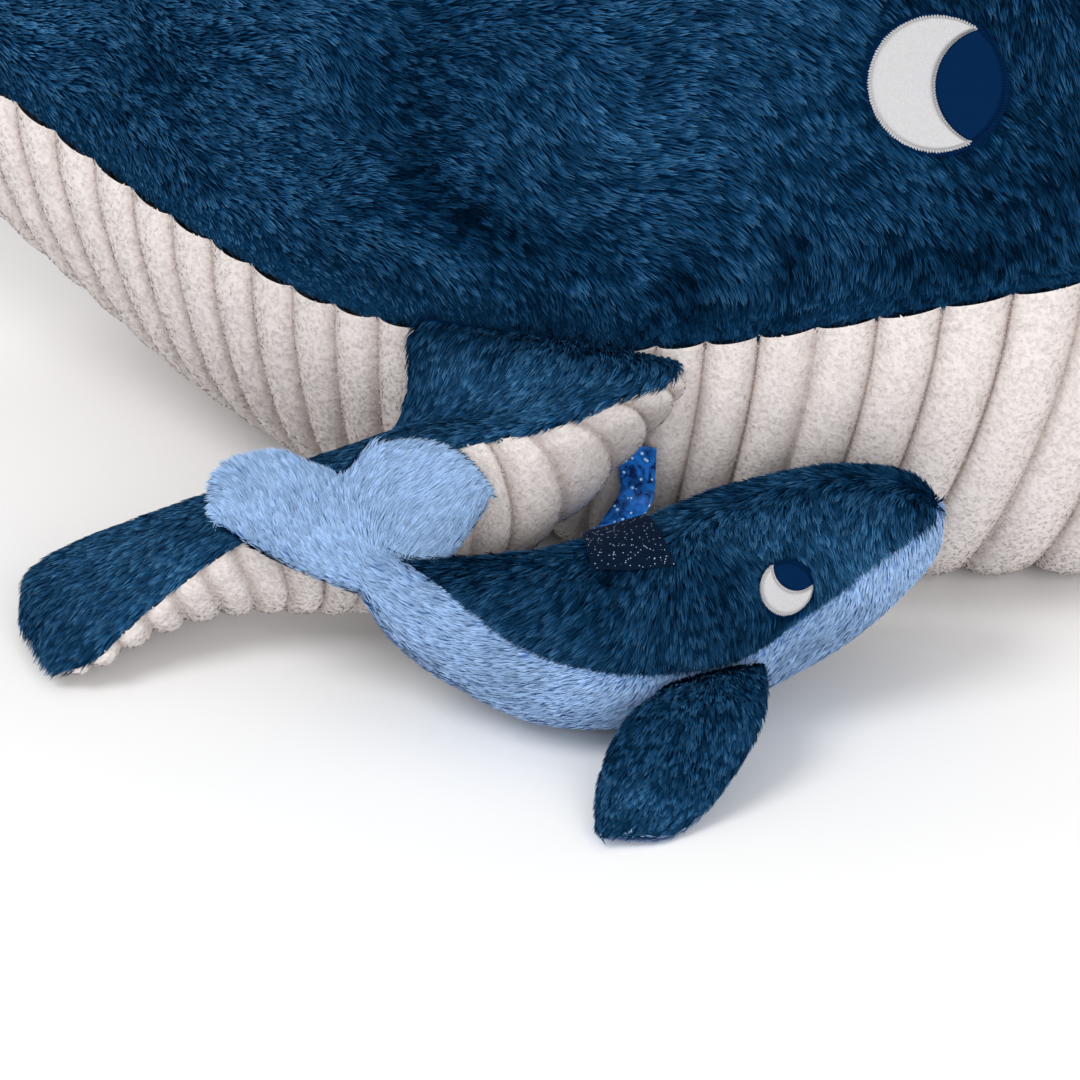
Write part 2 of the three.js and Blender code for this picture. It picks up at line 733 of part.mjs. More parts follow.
const smallCutter = smallTailRegion(fitGap);
const smallTailSolid = smallTailRegion(0);
const smallPlaces = [0.05, 0.13, 0.2, 0.28, 0.36, 0.44, 0.52, 0.6, 0.68, 0.76, 0.84, 0.9, 0.95,
  0.985];
const smallShell = { across: 8, inner: 4, thickness: smallPlush };
const smallBack = panel(smallForm, smallPlaces,
  { from: Math.PI, to: 0, lift: seamGap / 2, ...smallShell }).subtract(smallCutter);
const smallBelly = panel(smallForm, smallPlaces,
  { from: 0, to: -Math.PI, lift: -seamGap / 2, ...smallShell }).subtract(smallCutter);
const smallFill = { above: 4, below: 4, thickness: smallPlush };
const smallFilling = filling(smallForm, smallPlaces.slice(0, -2), smallFill)
  .subtract(smallCutter);

const smallTailPlaces = [0, 0.05, 0.1, 0.15, 0.2, 0.25, 0.3];
const smallTailBack = panel(smallForm, smallTailPlaces,
  { from: Math.PI, to: 0, lift: seamGap / 2, ...smallShell }).intersect(smallTailSolid);
const smallTailBelly = panel(smallForm, smallTailPlaces,
  { from: 0, to: -Math.PI, lift: -seamGap / 2, ...smallShell }).intersect(smallTailSolid);
const smallTailFilling = filling(smallForm, smallTailPlaces, smallFill)
  .intersect(smallTailSolid);

const smallStock = envelope(smallForm, smallTailPlaces, 16, () => fitGap);
const flipperEnvelope = envelope(flipperForm(-1), flipperRibPlaces, 32,
  () => fitGap + flipperRibDepth);

// The small flukes lean back on the flipper, with their under side towards the front.
const smallFlukeInset = 6;
const smallFlukeStandOff = 0.8;
const smallFlukeAlong = vec(-0.513, 0.334, 0.788).normalize();
const smallFlukeAcross = vec(0.93, 0.34, 0.07).normalize();
const smallFlukeUp = smallFlukeAlong.clone().cross(smallFlukeAcross).normalize();
const smallFlukes = flukeForm({
  hinge: smallCentre(0).addScaledVector(smallFlukeAlong, -smallFlukeInset)
    .addScaledVector(smallFlukeUp, -smallFlukeStandOff),
  forward: smallFlukeAlong.clone().negate(),
  across: smallFlukeAcross,
  up: smallFlukeUp,
  span: smallFlukeSpan,
  chord: smallFlukeChord,
  thickness: smallFlukeThickness,
  sweep: smallFlukeSweep,
  notch: smallFlukeNotch,
  droop: 0,
});
const smallFlukePlaces = spread(-0.995, 0.995, 10).map((share) => share * smallFlukeSpan / 2);
const smallFlukeTrim = (solid) => solid.subtract(smallStock).subtract(flipperEnvelope);
const smallFlukeShell = { across: 5, inner: 2, thickness: 0.4 * smallFlukeThickness };
const smallFlukesBack = smallFlukeTrim(panel(smallFlukes, smallFlukePlaces,
  { from: Math.PI, to: 0, lift: seamGap / 2, ...smallFlukeShell }));
const smallFlukesUnder = smallFlukeTrim(panel(smallFlukes, smallFlukePlaces,
  { from: 0, to: -Math.PI, lift: -seamGap / 2, ...smallFlukeShell }));

// Fins of the small whale. Columns: place, then x, reach out and height of the leading seam
// from its root, the same of the trailing seam, and the bulge of both sides.
const nearFinProfile = [
  [0.00, 0, 0, 0, 0, 0, 0, 1],
  [0.10, 0.5, 3, 0, -0.5, 3, 0, 2.5],
  [0.35, 3, 15, -3, -7, 9, -5, 4.5],
  [0.60, 1, 26, -11, -10, 19, -11, 4.5],
  [0.82, -5, 38, -20, -10, 30, -17, 3.5],
  [0.95, -11, 46, -24, -8, 38, -19, 2.5],
  [1.00, -15, 50, -24.5, -7, 41, -19.5, 1.2],
];
const farFinProfile = [
  [0.00, 0, 0, 0, 0, 0, 0, 1],
  [0.10, 0, 3, -0.5, -0.5, 3, -0.5, 2.2],
  [0.35, 3, 8, -6, -9, 7, -8, 3.5],
  [0.60, -1, 11, -13, -17, 9, -14, 3.5],
  [0.82, -9, 13, -20, -22, 10, -17, 3],
  [0.95, -18, 14, -23, -23, 11, -18.5, 2],
  [1.00, -24, 14, -24, -22, 12, -19, 1],
];
const finFrontPlace = 0.64;
const finRearPlace = 0.52;
const finRootAngle = 8;

function finRoot(place, hand) {
  const angle = rad(finRootAngle);
  return formPoint(smallForm, place, hand < 0 ? -angle : Math.PI + angle, fitGap);
}

function finForm(profile, hand) {
  const front = finRoot(finFrontPlace, hand);
  const rear = finRoot(finRearPlace, hand);
  const from = (root, x, out, height) => vec(root.x + x, root.y + hand * out, root.z + height);
  return limbForm((place) => {
    const row = alongTable(profile, place);
    return {
      lead: from(front, ...row.slice(1, 4)),
      trail: from(rear, ...row.slice(4, 7)),
      crown: row[7],
      bulge: row[7],
    };
  }, hand);
}

const smallEnvelope = envelope(smallForm, smallPlaces, 16, () => fitGap);

function smallFin(profile, hand) {
  const form = finForm(profile, hand);
  const places = [0, 0.05, 0.1, 0.22, 0.35, 0.48, 0.6, 0.72, 0.82, 0.9, 0.95, 1];
  const shell = { across: 6, inner: 2, thickness: 1.8 };
  const trim = (solid) => solid.subtract(smallEnvelope).subtract(bodyEnvelope);
  return {
    top: trim(panel(form, places, { from: Math.PI, to: 0, lift: seamGap / 2, ...shell })),
    under: trim(panel(form, places, { from: 0, to: -Math.PI, lift: -seamGap / 2, ...shell })),
  };
}

// Eyes of the small whale
const smallEyePlaces = smallPlaces.filter((place) => Math.abs(place - smallEyePlace) < 0.17);
const smallEyeLayer = layerOn(smallForm, smallEyePlaces, 8, smallFelt);
const smallEyeRight = eye(smallEyeLayer,
  spotOn(smallForm, smallEyePlace, rad(smallEyeAngle), 0.01), smallEyeRadius,
  rad(smallEyeTilt), 5);
const smallEyeLeft = eye(smallEyeLayer,
  spotOn(smallForm, smallEyePlace, rad(180 - smallEyeAngle), 0.01), smallEyeRadius,
  rad(-smallEyeTilt), 5);

// Ribbon: out from under the front of the right flipper, down, and up the far side of the
// small back as far as the patch.
const patchLayer = layerOn(smallForm, smallPlaces.filter((p) => p > 0.3 && p < 0.6), 8,
  patchThickness, patchGap);
const patchSpot = spotOn(smallForm, ribbonPlace, Math.PI / 2, 0.01);
const patchOutline = [[-patchLength / 2, -patchWidth / 2], [patchLength / 2, -patchWidth / 2],
  [patchLength / 2, patchWidth / 2], [-patchLength / 2, patchWidth / 2]];
const ribbonPatch = largest(patchLayer.intersect(punch(patchOutline, patchSpot, 30, 0)));

const ribbonRootPlace = 0.18;
const ribbonRootAngle = -42;
const ribbonTop = formPoint(flipperForm(-1), ribbonRootPlace, rad(ribbonRootAngle),
  3 * fitGap + flipperRibDepth + ribbonThickness / 2).add(vec(1.5, -0.9, -1));
const overBack = (angle, height) => formPoint(smallForm, ribbonPlace, rad(angle), height);
const ribbonClear = 2 * fitGap + ribbonThickness / 2 + 0.5;
const ribbonCurve = new THREE.CatmullRomCurve3([
  ribbonTop,
  ribbonTop.clone().add(vec(0, -0.5, -7)),
  ribbonTop.clone().add(vec(0, -2.5, -15)),
  overBack(160, 6),
  overBack(146, 2.8),
  overBack(134, ribbonClear),
  overBack(124, ribbonClear),
], false, 'centripetal');

function ribbonSolid() {
  const wide = smallSection(ribbonPlace).up.clone().cross(smallSection(ribbonPlace).side).negate();
  return loft(spread(0, 1, 18).map((share) => {
    const at = ribbonCurve.getPointAt(share);
    const along = ribbonCurve.getTangentAt(share);
    const across = vec(1, 0, 0).lerp(wide, share);
    across.addScaledVector(along, -across.dot(along)).normalize();
    const out = across.clone().cross(along).normalize();
    return [[-1, -1], [1, -1], [1, 1], [-1, 1]].map(([u, v]) => at.clone()
      .addScaledVector(across, u * ribbonWidth / 2)
      .addScaledVector(out, v * ribbonThickness / 2));
  }));
}

const group = new THREE.Group();
group.name = 'whale_soft_toy';

const finish = (color, roughness) => new THREE.MeshStandardMaterial(
  { color, roughness, metalness: 0 });
const navyPlush = finish(0x17405f, 0.95);
const creamPlush = finish(0xd9cfc8, 0.95);
const bluePlush = finish(0x9fb8e0, 0.95);
const whiteFelt = finish(0xeeeae4, 0.9);
const darkFelt = finish(0x0d2c4e, 0.9);
const stuffing = finish(0xf2f2ee, 1);
const filmFinish = finish(0xcfd6da, 0.3);
const rattleFinish = finish(0xe8e8e4, 0.5);
const satin = finish(0x1f5fc0, 0.35);
const glitter = finish(0x0a1430, 0.4);

function addPiece(name, solid, material) {
  const mesh = new THREE.Mesh(geometryOf(solid), material);
  mesh.name = name;
  group.add(mesh);
}

addPiece('body_back_panel', bodyBack, navyPlush);
addPiece('body_belly_panel', bodyBelly, creamPlush);
addPiece('body_filling', bodyFilling, stuffing);
addPiece('rattle_cup', rattleShell(false), rattleFinish);
addPiece('rattle_lid', rattleShell(true), rattleFinish);
rattleBalls.forEach((ball, k) => addPiece(`rattle_ball_${k + 1}`, ball, rattleFinish));
addPiece('eye_white_right', rightEye.white, whiteFelt);
addPiece('eye_dark_right', rightEye.dark, darkFelt);
addPiece('eye_white_left', mirrored(rightEye.white), whiteFelt);
addPiece('eye_dark_left', mirrored(rightEye.dark), darkFelt);
addPiece('tail_back_panel', tailBack, navyPlush);
addPiece('tail_belly_panel', tailBelly, creamPlush);
addPiece('tail_filling', tailFilling, stuffing);
addPiece('flukes_top', flukesTop, navyPlush);
addPiece('flukes_under', flukesUnder, creamPlush);
addPiece('crinkle_film', crinkleFilm, filmFinish);
[['right', -1], ['left', 1]].forEach(([name, hand]) => {
  const made = flipper(hand);
  addPiece(`flipper_${name}_top`, made.top, navyPlush);
  addPiece(`flipper_${name}_under`, made.under, creamPlush);
  addPiece(`flipper_${name}_filling`, made.filling, stuffing);
});
addPiece('small_back_panel', smallBack, navyPlush);
addPiece('small_belly_panel', smallBelly, bluePlush);
addPiece('small_filling', smallFilling, stuffing);
addPiece('small_tail_back', smallTailBack, navyPlush);
addPiece('small_tail_belly', smallTailBelly, bluePlush);
addPiece('small_tail_filling', smallTailFilling, stuffing);
addPiece('small_flukes_back', smallFlukesBack, navyPlush);
addPiece('small_flukes_under', smallFlukesUnder, bluePlush);
[['right', nearFinProfile, -1], ['left', farFinProfile, 1]].forEach(([name, profile, hand]) => {
  const made = smallFin(profile, hand);
  addPiece(`small_fin_${name}_top`, made.top, navyPlush);
  addPiece(`small_fin_${name}_under`, made.under, bluePlush);
});
addPiece('small_eye_white_right', smallEyeRight.white, whiteFelt);
addPiece('small_eye_dark_right', smallEyeRight.dark, darkFelt);
addPiece('small_eye_white_left', smallEyeLeft.white, whiteFelt);
addPiece('small_eye_dark_left', smallEyeLeft.dark, darkFelt);
addPiece('ribbon', ribbonSolid(), satin);
addPiece('ribbon_patch', ribbonPatch, glitter);

export default group;
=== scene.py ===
"""A plush whale and the small whale tied to its flipper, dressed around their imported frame."""

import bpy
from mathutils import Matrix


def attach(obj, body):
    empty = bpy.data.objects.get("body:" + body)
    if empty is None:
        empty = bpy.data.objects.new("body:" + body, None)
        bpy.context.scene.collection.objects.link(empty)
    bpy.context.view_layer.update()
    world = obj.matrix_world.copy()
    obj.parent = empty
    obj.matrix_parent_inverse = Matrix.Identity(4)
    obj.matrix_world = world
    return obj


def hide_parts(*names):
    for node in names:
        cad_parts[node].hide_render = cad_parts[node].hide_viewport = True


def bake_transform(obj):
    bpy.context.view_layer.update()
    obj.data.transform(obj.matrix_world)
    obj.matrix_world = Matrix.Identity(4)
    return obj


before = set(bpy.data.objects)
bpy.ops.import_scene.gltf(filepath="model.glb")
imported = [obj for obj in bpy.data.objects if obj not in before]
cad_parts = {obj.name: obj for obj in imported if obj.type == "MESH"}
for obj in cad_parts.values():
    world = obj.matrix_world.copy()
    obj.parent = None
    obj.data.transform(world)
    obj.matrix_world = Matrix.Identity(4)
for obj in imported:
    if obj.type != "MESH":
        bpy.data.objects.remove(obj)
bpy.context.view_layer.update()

import math
from typing import NamedTuple

import bpy
import numpy as np
from bpy.props import FloatProperty, FloatVectorProperty, IntProperty, PointerProperty
from bpy.types import Operator, Panel, PropertyGroup
from mathutils import Vector
from mathutils.bvhtree import BVHTree
from mathutils.kdtree import KDTree

bl_info = {
    "name": "Plush Whale",
    "version": (1, 0, 0),
    "blender": (4, 5, 0),
    "location": "3D View > Sidebar > Plush",
    "description": "Makes the cloth, pile, eyes and ribbon of a plush whale around its frame",
    "category": "Object",
}

MM = 0.001

# Sizes of the sewn forms, in millimetres, the same as in the frame
BODY_HALF_WIDTH = 117.0
BODY_HEIGHT = 214.0
NOSE_REACH = 224.0
TAIL_REACH = 330.0
NOSE_START = 150.0
RIB_START = -356.0
RIB_PITCH = 13.2
RIB_PITCH_AT_HEAD = 18.0
RIB_SPREAD = (10.0, 130.0)
RIB_LEAN_RATE = 0.235
RIB_LEAN_START = -48.0
RIB_LEAN_LEAST = -20.0
RIB_LEAN_END = 100.0
FLUKE_HINGE = (-336.0, 0.0, 151.9)
FLUKE_SPAN = 210.0
FLUKE_CHORD = 78.0
FLUKE_THICKNESS = 24.0
FLUKE_SWEEP = 46.0
FLUKE_NOTCH = 20.0
FLUKE_DROOP = 8.0
FLIPPER_ROOT_Z = 78.0
FIT_GAP = 0.3
EYE_RADIUS = 17.4
EYE_X = 96.0
EYE_ANGLE = 33.0
EYE_TILT = 2.0
SMALL_EYE_RADIUS = 6.9
SMALL_EYE_PLACE = 0.73
SMALL_EYE_ANGLE = 22.0
SMALL_EYE_TILT = 30.0
SMALL_GIRTH = 26.5
SMALL_FLUKE_SPAN = 70.0
SMALL_FLUKE_CHORD = 44.0
SMALL_FLUKE_THICKNESS = 10.0
SMALL_FLUKE_SWEEP = 24.0
SMALL_FLUKE_NOTCH = 9.5
SMALL_FLUKE_INSET = 6.0
SMALL_FLUKE_STAND_OFF = 0.8
SMALL_FLUKE_LAY = (-0.513, 0.334, 0.788)
SMALL_FLUKE_ACROSS = (0.93, 0.34, 0.07)
RIBBON_PLACE = 0.51
RIBBON_WIDTH = 10.0
RIBBON_CURL = 0.35
RIBBON_THICKNESS = 0.4
RIBBON_ROOT_PLACE = 0.18
RIBBON_ROOT_ANGLE = -42.0
PATCH_PLACES = 0.062
PATCH_ANGLE = 28.0
PATCH_LIFT = 1.4
PATCH_LUMPS = ((0.25, 5.0, 2),)

# Place along the body, then width, seam, keel and back heights, and fullness of the belly
BODY_PROFILE = [
    (-1.000, 0.115, 0.710, 0.650, 0.772, 2.4),
    (-0.909, 0.175, 0.687, 0.565, 0.800, 2.4),
    (-0.758, 0.285, 0.617, 0.425, 0.836, 2.4),
    (-0.606, 0.420, 0.537, 0.268, 0.876, 2.5),
    (-0.461, 0.582, 0.458, 0.128, 0.916, 2.6),
    (-0.333, 0.752, 0.402, 0.028, 0.953, 2.7),
    (-0.188, 0.906, 0.364, -0.018, 0.981, 3.0),
    (0.000, 0.991, 0.374, -0.030, 1.000, 3.2),
    (0.179, 1.000, 0.407, -0.031, 1.000, 3.2),
    (0.357, 0.966, 0.453, -0.032, 0.977, 3.2),
    (0.536, 0.897, 0.497, -0.030, 0.925, 3.2),
    (0.670, 0.803, 0.518, -0.022, 0.865, 3.2),
    (0.820, 0.700, 0.526, 0.030, 0.820, 3.0),
    (1.000, 0.600, 0.528, 0.120, 0.780, 2.8),
]
# Place along the flipper, then x, reach and height of both seams, and both bulges
FLIPPER_PROFILE = [
    (0.00, 36, 0.0, 1.00, -40, 0.0, 1.00, 1.5, 8),
    (0.07, 36, 5.0, 1.00, -41, 5.0, 0.96, 5, 18),
    (0.16, 25, 13, 0.99, -40, 9, 0.83, 7, 28),
    (0.28, 6, 23, 0.91, -43, 13, 0.67, 8, 34),
    (0.42, -17, 30, 0.84, -56, 16, 0.52, 9, 36),
    (0.57, -45, 39, 0.68, -77, 19, 0.41, 9, 34),
    (0.72, -74, 48, 0.47, -101, 22, 0.31, 8, 25),
    (0.86, -95, 61, 0.26, -125, 28, 0.21, 7, 15),
    (0.95, -106, 71, 0.13, -138, 38, 0.13, 6, 8),
    (1.00, -115, 73, 0.07, -136, 53, 0.07, 3, 4),
]
FLIPPER_ROOTS = (36.0, -40.0)
FLIPPER_RIB_PITCH = 9.3
# How far the flipper's root is raised, in mm, and how far along the flipper that reaches
FLIPPER_ROOT_RISE = 5.0
FLIPPER_RISE_REACH = 0.1
# Swelling under the flipper near the ribbon: height in mm, place, length, share and width
FLIPPER_ROLL = (5.0, 0.2, 0.14, 0.2, 0.2)
# Place along the small whale, then x, reach and height of its middle, three sizes and the roll
SMALL_PROFILE = [
    (0.00, -33, 55, 43, 0.30, 0.28, 0.30, 92),
    (0.08, -28, 56.5, 38.5, 0.38, 0.36, 0.38, 84),
    (0.16, -20, 56.5, 33.5, 0.52, 0.50, 0.52, 66),
    (0.26, -6, 55, 28.5, 0.70, 0.70, 0.70, 40),
    (0.42, 18, 51, 25.5, 0.92, 0.93, 0.93, 12),
    (0.57, 43, 39, 27.5, 1.02, 1.02, 1.00, 0),
    (0.70, 63, 25, 34, 1.00, 1.00, 0.98, 0),
    (0.82, 82, 16.5, 43, 0.83, 0.86, 0.84, 0),
    (0.91, 95, 13.5, 50, 0.60, 0.62, 0.62, 0),
    (0.97, 103, 12.5, 54.5, 0.38, 0.38, 0.38, 0),
    (1.00, 107, 12, 56.5, 0.12, 0.12, 0.12, 0),
]
SMALL_JOINT = 0.13
NEAR_FIN_PROFILE = [
    (0.00, 0, 0, 0, 0, 0, 0, 1),
    (0.10, 0.5, 3, 0, -0.5, 3, 0, 2.5),
    (0.35, 3, 15, -3, -7, 9, -5, 4.5),
    (0.60, 1, 26, -11, -10, 19, -11, 4.5),
    (0.82, -5, 38, -20, -10, 30, -17, 3.5),
    (0.95, -11, 46, -24, -8, 38, -19, 2.5),
    (1.00, -15, 50, -24.5, -7, 41, -19.5, 1.2),
]
FAR_FIN_PROFILE = [
    (0.00, 0, 0, 0, 0, 0, 0, 1),
    (0.10, 0, 3, -0.5, -0.5, 3, -0.5, 2.2),
    (0.35, 3, 8, -6, -9, 7, -8, 3.5),
    (0.60, -1, 11, -13, -17, 9, -14, 3.5),
    (0.82, -9, 13, -20, -22, 10, -17, 3),
    (0.95, -18, 14, -23, -23, 11, -18.5, 2),
    (1.00, -24, 14, -24, -22, 12, -19, 1),
]
FIN_PLACES = (0.64, 0.52)
FIN_ROOT_ANGLE = 8.0

# The turn of a cloth over the top of a form and under it, from seam to seam
OVER = (math.pi, 0)
UNDER = (0, -math.pi)
# The whale's two sides by their direction across it
SIDES = {-1: "right", 1: "left"}


# Numbers and directions

def unit(vectors):
    """The vectors at length 1."""
    size = np.linalg.norm(vectors, axis=-1, keepdims=True)
    return vectors / np.maximum(size, 1e-9)


def ease(low, high, value):
    """0 below low, 1 above high and a smooth step between."""
    t = np.clip((np.asarray(value, float) - low) / (high - low), 0, 1)
    return t * t * (3 - 2 * t)


def along(rows, place):
    """Smooth values between the rows of a table whose first column is the place."""
    rows = np.asarray(rows, float)
    keys, values = rows[:, 0], rows[:, 1:]
    low = np.maximum(np.arange(len(keys)) - 1, 0)
    high = np.minimum(np.arange(len(keys)) + 1, len(keys) - 1)
    slope = (values[high] - values[low]) / (keys[high] - keys[low])[:, None]
    at = np.clip(place, keys[0], keys[-1])
    i = np.clip(np.searchsorted(keys, at) - 1, 0, len(keys) - 2)
    width = keys[i + 1] - keys[i]
    t = ((at - keys[i]) / width)[..., None]
    keep = 2 * t**3 - 3 * t**2 + 1
    leave = t**3 - 2 * t**2 + t
    reach = t**3 - t**2
    return (keep * values[i] + (1 - keep) * values[i + 1]
            + width[..., None] * (leave * slope[i] + reach * slope[i + 1]))


def soft_noise(points, size, seed):
    """Smooth noise from -1 to 1 with lumps of about the given size."""
    cell = points / size + 31.7 * (seed + 1)
    base = np.floor(cell).astype(np.int64)
    t = cell - base
    t = t * t * (3 - 2 * t)
    total = np.zeros(points.shape[:-1])
    for corner in range(8):
        step = np.array([(corner >> k) & 1 for k in range(3)])
        at = base + step
        mixed = at[..., 0] * 374761393 + at[..., 1] * 668265263 + at[..., 2] * 2147483647
        mixed = (mixed ^ (mixed >> 13)) * 1274126177 + seed * 974711
        value = ((mixed ^ (mixed >> 16)) & 0xFFFF) / 32767.5 - 1
        total += value * np.prod(np.where(step, t, 1 - t), axis=-1)
    return total


def noise_sum(points, layers):
    """Layers of noise added up; each has a height, a lump size and a seed."""
    return sum(height * soft_noise(points, size, seed) for height, size, seed in layers)


# Forms

# Least share of its size that a form keeps where its relief goes inward
LEAST_SIZE = 0.35
# How square the sections are; 2 is an ellipse
BACK_FULLNESS = 2.2
LIMB_FULLNESS = 2.2
FLUKE_FULLNESS = 2.0
SMALL_FULLNESS = 2.1
# How far apart two places are when a form's direction is taken between them
LIMB_STEP = 0.04
SMALL_STEP = 0.02
# Flukes: how fast the notch closes, how chord and thickness taper, and the least of both
NOTCH_RATE = 3.2
CHORD_TAPER = 0.38
THICKNESS_TAPER = 0.35
LEAST_CHORD = 0.12
LEAST_THICKNESS = 0.2


class Section(NamedTuple):
    """Cross sections of a form: where they lie, how they face and how large they are."""
    centre: np.ndarray
    side: np.ndarray
    up: np.ndarray
    half: np.ndarray
    above: np.ndarray
    below: np.ndarray
    full_above: np.ndarray
    full_below: np.ndarray


def form_point(s, angle, grow=0.0):
    """Points on a form: angle 0 is the seam on its side direction, 90 degrees its top."""
    cos, sin = np.cos(angle), np.sin(angle)
    top = sin > 0
    power = 2 / np.where(top, s.full_above, s.full_below)
    tall = np.where(top, s.above, s.below)
    across, height = (
        np.maximum(size + grow, size * LEAST_SIZE) * np.sign(way) * np.abs(way) ** power
        for size, way in ((s.half, cos), (tall, sin)))
    return s.centre + s.side * across[..., None] + s.up * height[..., None]


def body_section(x):
    """The whale's body at x."""
    rows = [(p * (NOSE_REACH if p > 0 else TAIL_REACH), *shares) for p, *shares in BODY_PROFILE]
    width, seam, keel, top, full = np.moveaxis(along(rows, x), -1, 0)
    q = np.clip((x - NOSE_START) / (NOSE_REACH - NOSE_START), 0, 1)
    shrink = np.sqrt(np.maximum(1 - q * q, 0))
    level = seam * BODY_HEIGHT
    zero = np.zeros_like(level)
    return Section(
        centre=np.stack([np.asarray(x, float) + zero, zero, level], -1),
        side=np.stack([zero, zero - 1, zero], -1),
        up=np.stack([zero, zero, zero + 1], -1),
        half=width * BODY_HALF_WIDTH * shrink,
        above=(top - seam) * BODY_HEIGHT * shrink,
        below=(seam - keel) * BODY_HEIGHT * shrink,
        full_above=zero + BACK_FULLNESS,
        full_below=full,
    )


def rib_slip(x, share):
    """How far a rib has slipped towards the tail between the seam and the keel."""
    lean = np.maximum(RIB_LEAN_RATE * (x - RIB_LEAN_START), RIB_LEAN_LEAST)
    q = np.maximum((x - RIB_LEAN_END) / (NOSE_REACH - RIB_LEAN_END), 0)
    return lean * np.maximum(1 - q * q, 0) * np.sin(np.pi * share)


def limb_section(edges, hand, place):
    """A flat limb between two seams; edges gives both seams and both bulges at a place."""
    lead, trail, crown, bulge = edges(place)
    before = edges(np.maximum(place - LIMB_STEP, 0))
    after = edges(np.minimum(place + LIMB_STEP, 1))
    span = after[0] + after[1] - before[0] - before[1]
    side = lead - trail
    half = np.linalg.norm(side, axis=-1) / 2
    side = unit(side)
    full = np.full(np.shape(half), LIMB_FULLNESS)
    return Section((lead + trail) / 2, side, unit(np.cross(span, side) * -hand), half,
                   crown, bulge, full, full)


def flipper_section(hand):
    """The sections of the whale's flipper on one side; hand is -1 on the right."""
    def edges(place):
        row = along(FLIPPER_PROFILE, place)

        def seam(root, column):
            reach = body_section(np.array(root)).half + FIT_GAP + row[..., column + 1]
            return np.stack([row[..., column], hand * reach,
                             row[..., column + 2] * FLIPPER_ROOT_Z], -1)
        return seam(FLIPPER_ROOTS[0], 0), seam(FLIPPER_ROOTS[1], 3), row[..., 6], row[..., 7]
    return lambda place: limb_section(edges, hand, place)


def fluke_section(hinge, forward, across, up, span, chord, thickness, sweep, notch, droop):
    """The sections of a pair of flukes, taken across their span."""
    def section(place):
        out = np.minimum(np.abs(place) / (span / 2), 1)
        tip = np.sqrt(np.maximum(1 - out**4, 0))
        front = thickness / 2 - sweep * out**1.5
        length = chord - notch * np.maximum(1 - out * NOTCH_RATE, 0)
        length = length * (1 - CHORD_TAPER * out) * np.maximum(tip, LEAST_CHORD)
        thick = thickness / 2 * (1 - THICKNESS_TAPER * out) * np.maximum(tip, LEAST_THICKNESS)
        centre = (hinge + np.multiply.outer(front - length / 2, forward)
                  + np.multiply.outer(place, across) - np.multiply.outer(droop * out**2, up))
        spread_out = np.ones(np.shape(out) + (1,))
        full = np.full(np.shape(out), FLUKE_FULLNESS)
        return Section(centre, spread_out * forward, spread_out * up, length / 2, thick, thick,
                       full, full)
    return section


def small_centre(place):
    """The middle line of the small whale."""
    row = along(SMALL_PROFILE, place)
    return np.stack([row[..., 0], -BODY_HALF_WIDTH - row[..., 1], row[..., 2]], -1)


def small_section(place):
    """The small whale at a place from tail to nose."""
    place = np.asarray(place, float)
    row = along(SMALL_PROFILE, place)
    forward = unit(small_centre(np.minimum(place + SMALL_STEP, 1))
                   - small_centre(np.maximum(place - SMALL_STEP, 0)))
    right = unit(np.cross(forward, [0, 0, 1]))
    level = unit(np.cross(right, forward))
    roll = np.radians(row[..., 6])[..., None]
    up = level * np.cos(roll) - right * np.sin(roll)
    full = np.full(place.shape, SMALL_FULLNESS)
    half, above, below = (row[..., k] * SMALL_GIRTH for k in (3, 4, 5))
    return Section(small_centre(place), unit(np.cross(forward, up)), up, half, above, below,
                   full, full)


def fin_root(place, hand):
    """Where a seam of a small fin starts on the small whale."""
    angle = math.radians(FIN_ROOT_ANGLE)
    turn = -angle if hand < 0 else math.pi + angle
    return form_point(small_section(place), np.array(turn), FIT_GAP)


def fin_section(profile, hand):
    """The sections of one fin of the small whale."""
    roots = [fin_root(place, hand) for place in FIN_PLACES]

    def edges(place):
        row = along(profile, place)
        lead, trail = (roots[k] + row[..., 3 * k:3 * k + 3] * [1, hand, 1] for k in (0, 1))
        return lead, trail, row[..., 6], row[..., 6]
    return lambda place: limb_section(edges, hand, place)


# Cloth: a grid of points over a form, and the pile that stands on it

# Least heights over the floor, in mm, of cloth, long pile and terry loops
CLOTH_FLOOR = 0.6
PILE_FLOOR = 0.3
NAP_FLOOR = 0.2
# How light bare cloth looks, low so that it takes the pile's foot colour with its painted shade,
# and the sizes of the two rings that close a cloth's end
GROUND_TONE = 0.1
CAP_SIZES = (0.6, 0.02)
# Corners and triangles of a blade, and how many blades a tuft gathers
BLADE_CORNERS = 5
BLADE_FACES = 3
TUFT_BLADES = 8
# Shares and weights of noise in the sweep, rise and length of pile: share, lump size, seed
SWEEP_NOISE = ((1.0, 30.0, 5), (0.5, 11.0, 6))
SWEEP_CHANCE = 0.1
RISE_NOISE = ((0.4, 34.0, 7),)
LENGTH_NOISE = ((0.15, 20.0, 8),)
# A blade: how deep its foot stands, how wide its knee is, how far it rolls, how much of its
# rise is left beyond the knee, how its normals spread and what they are made of
FOOT_DEPTH = 0.4
KNEE_WIDTH = 0.85
BLADE_ROLL = 0.45
RISE_AT_END = 0.3
NORMAL_SPREAD = 0.4
NORMAL_PARTS = (0.85, 0.3, 0.35)
# Ranges of chance in a blade's width and rise, in its length and in its pull to a tuft
WIDTH_RANGE = (0.7, 1.3)
LENGTH_RANGE = (0.7, 1.15)
PULL_RANGE = (0.3, 1.0)
KNEE_PULL = 0.4
# What a blade's tint is made of: chance, its tuft and the shade of its area, which on the back
# and the flippers holds painted light and shade
TINT_PARTS = (0.3, 0.7, 0.5)
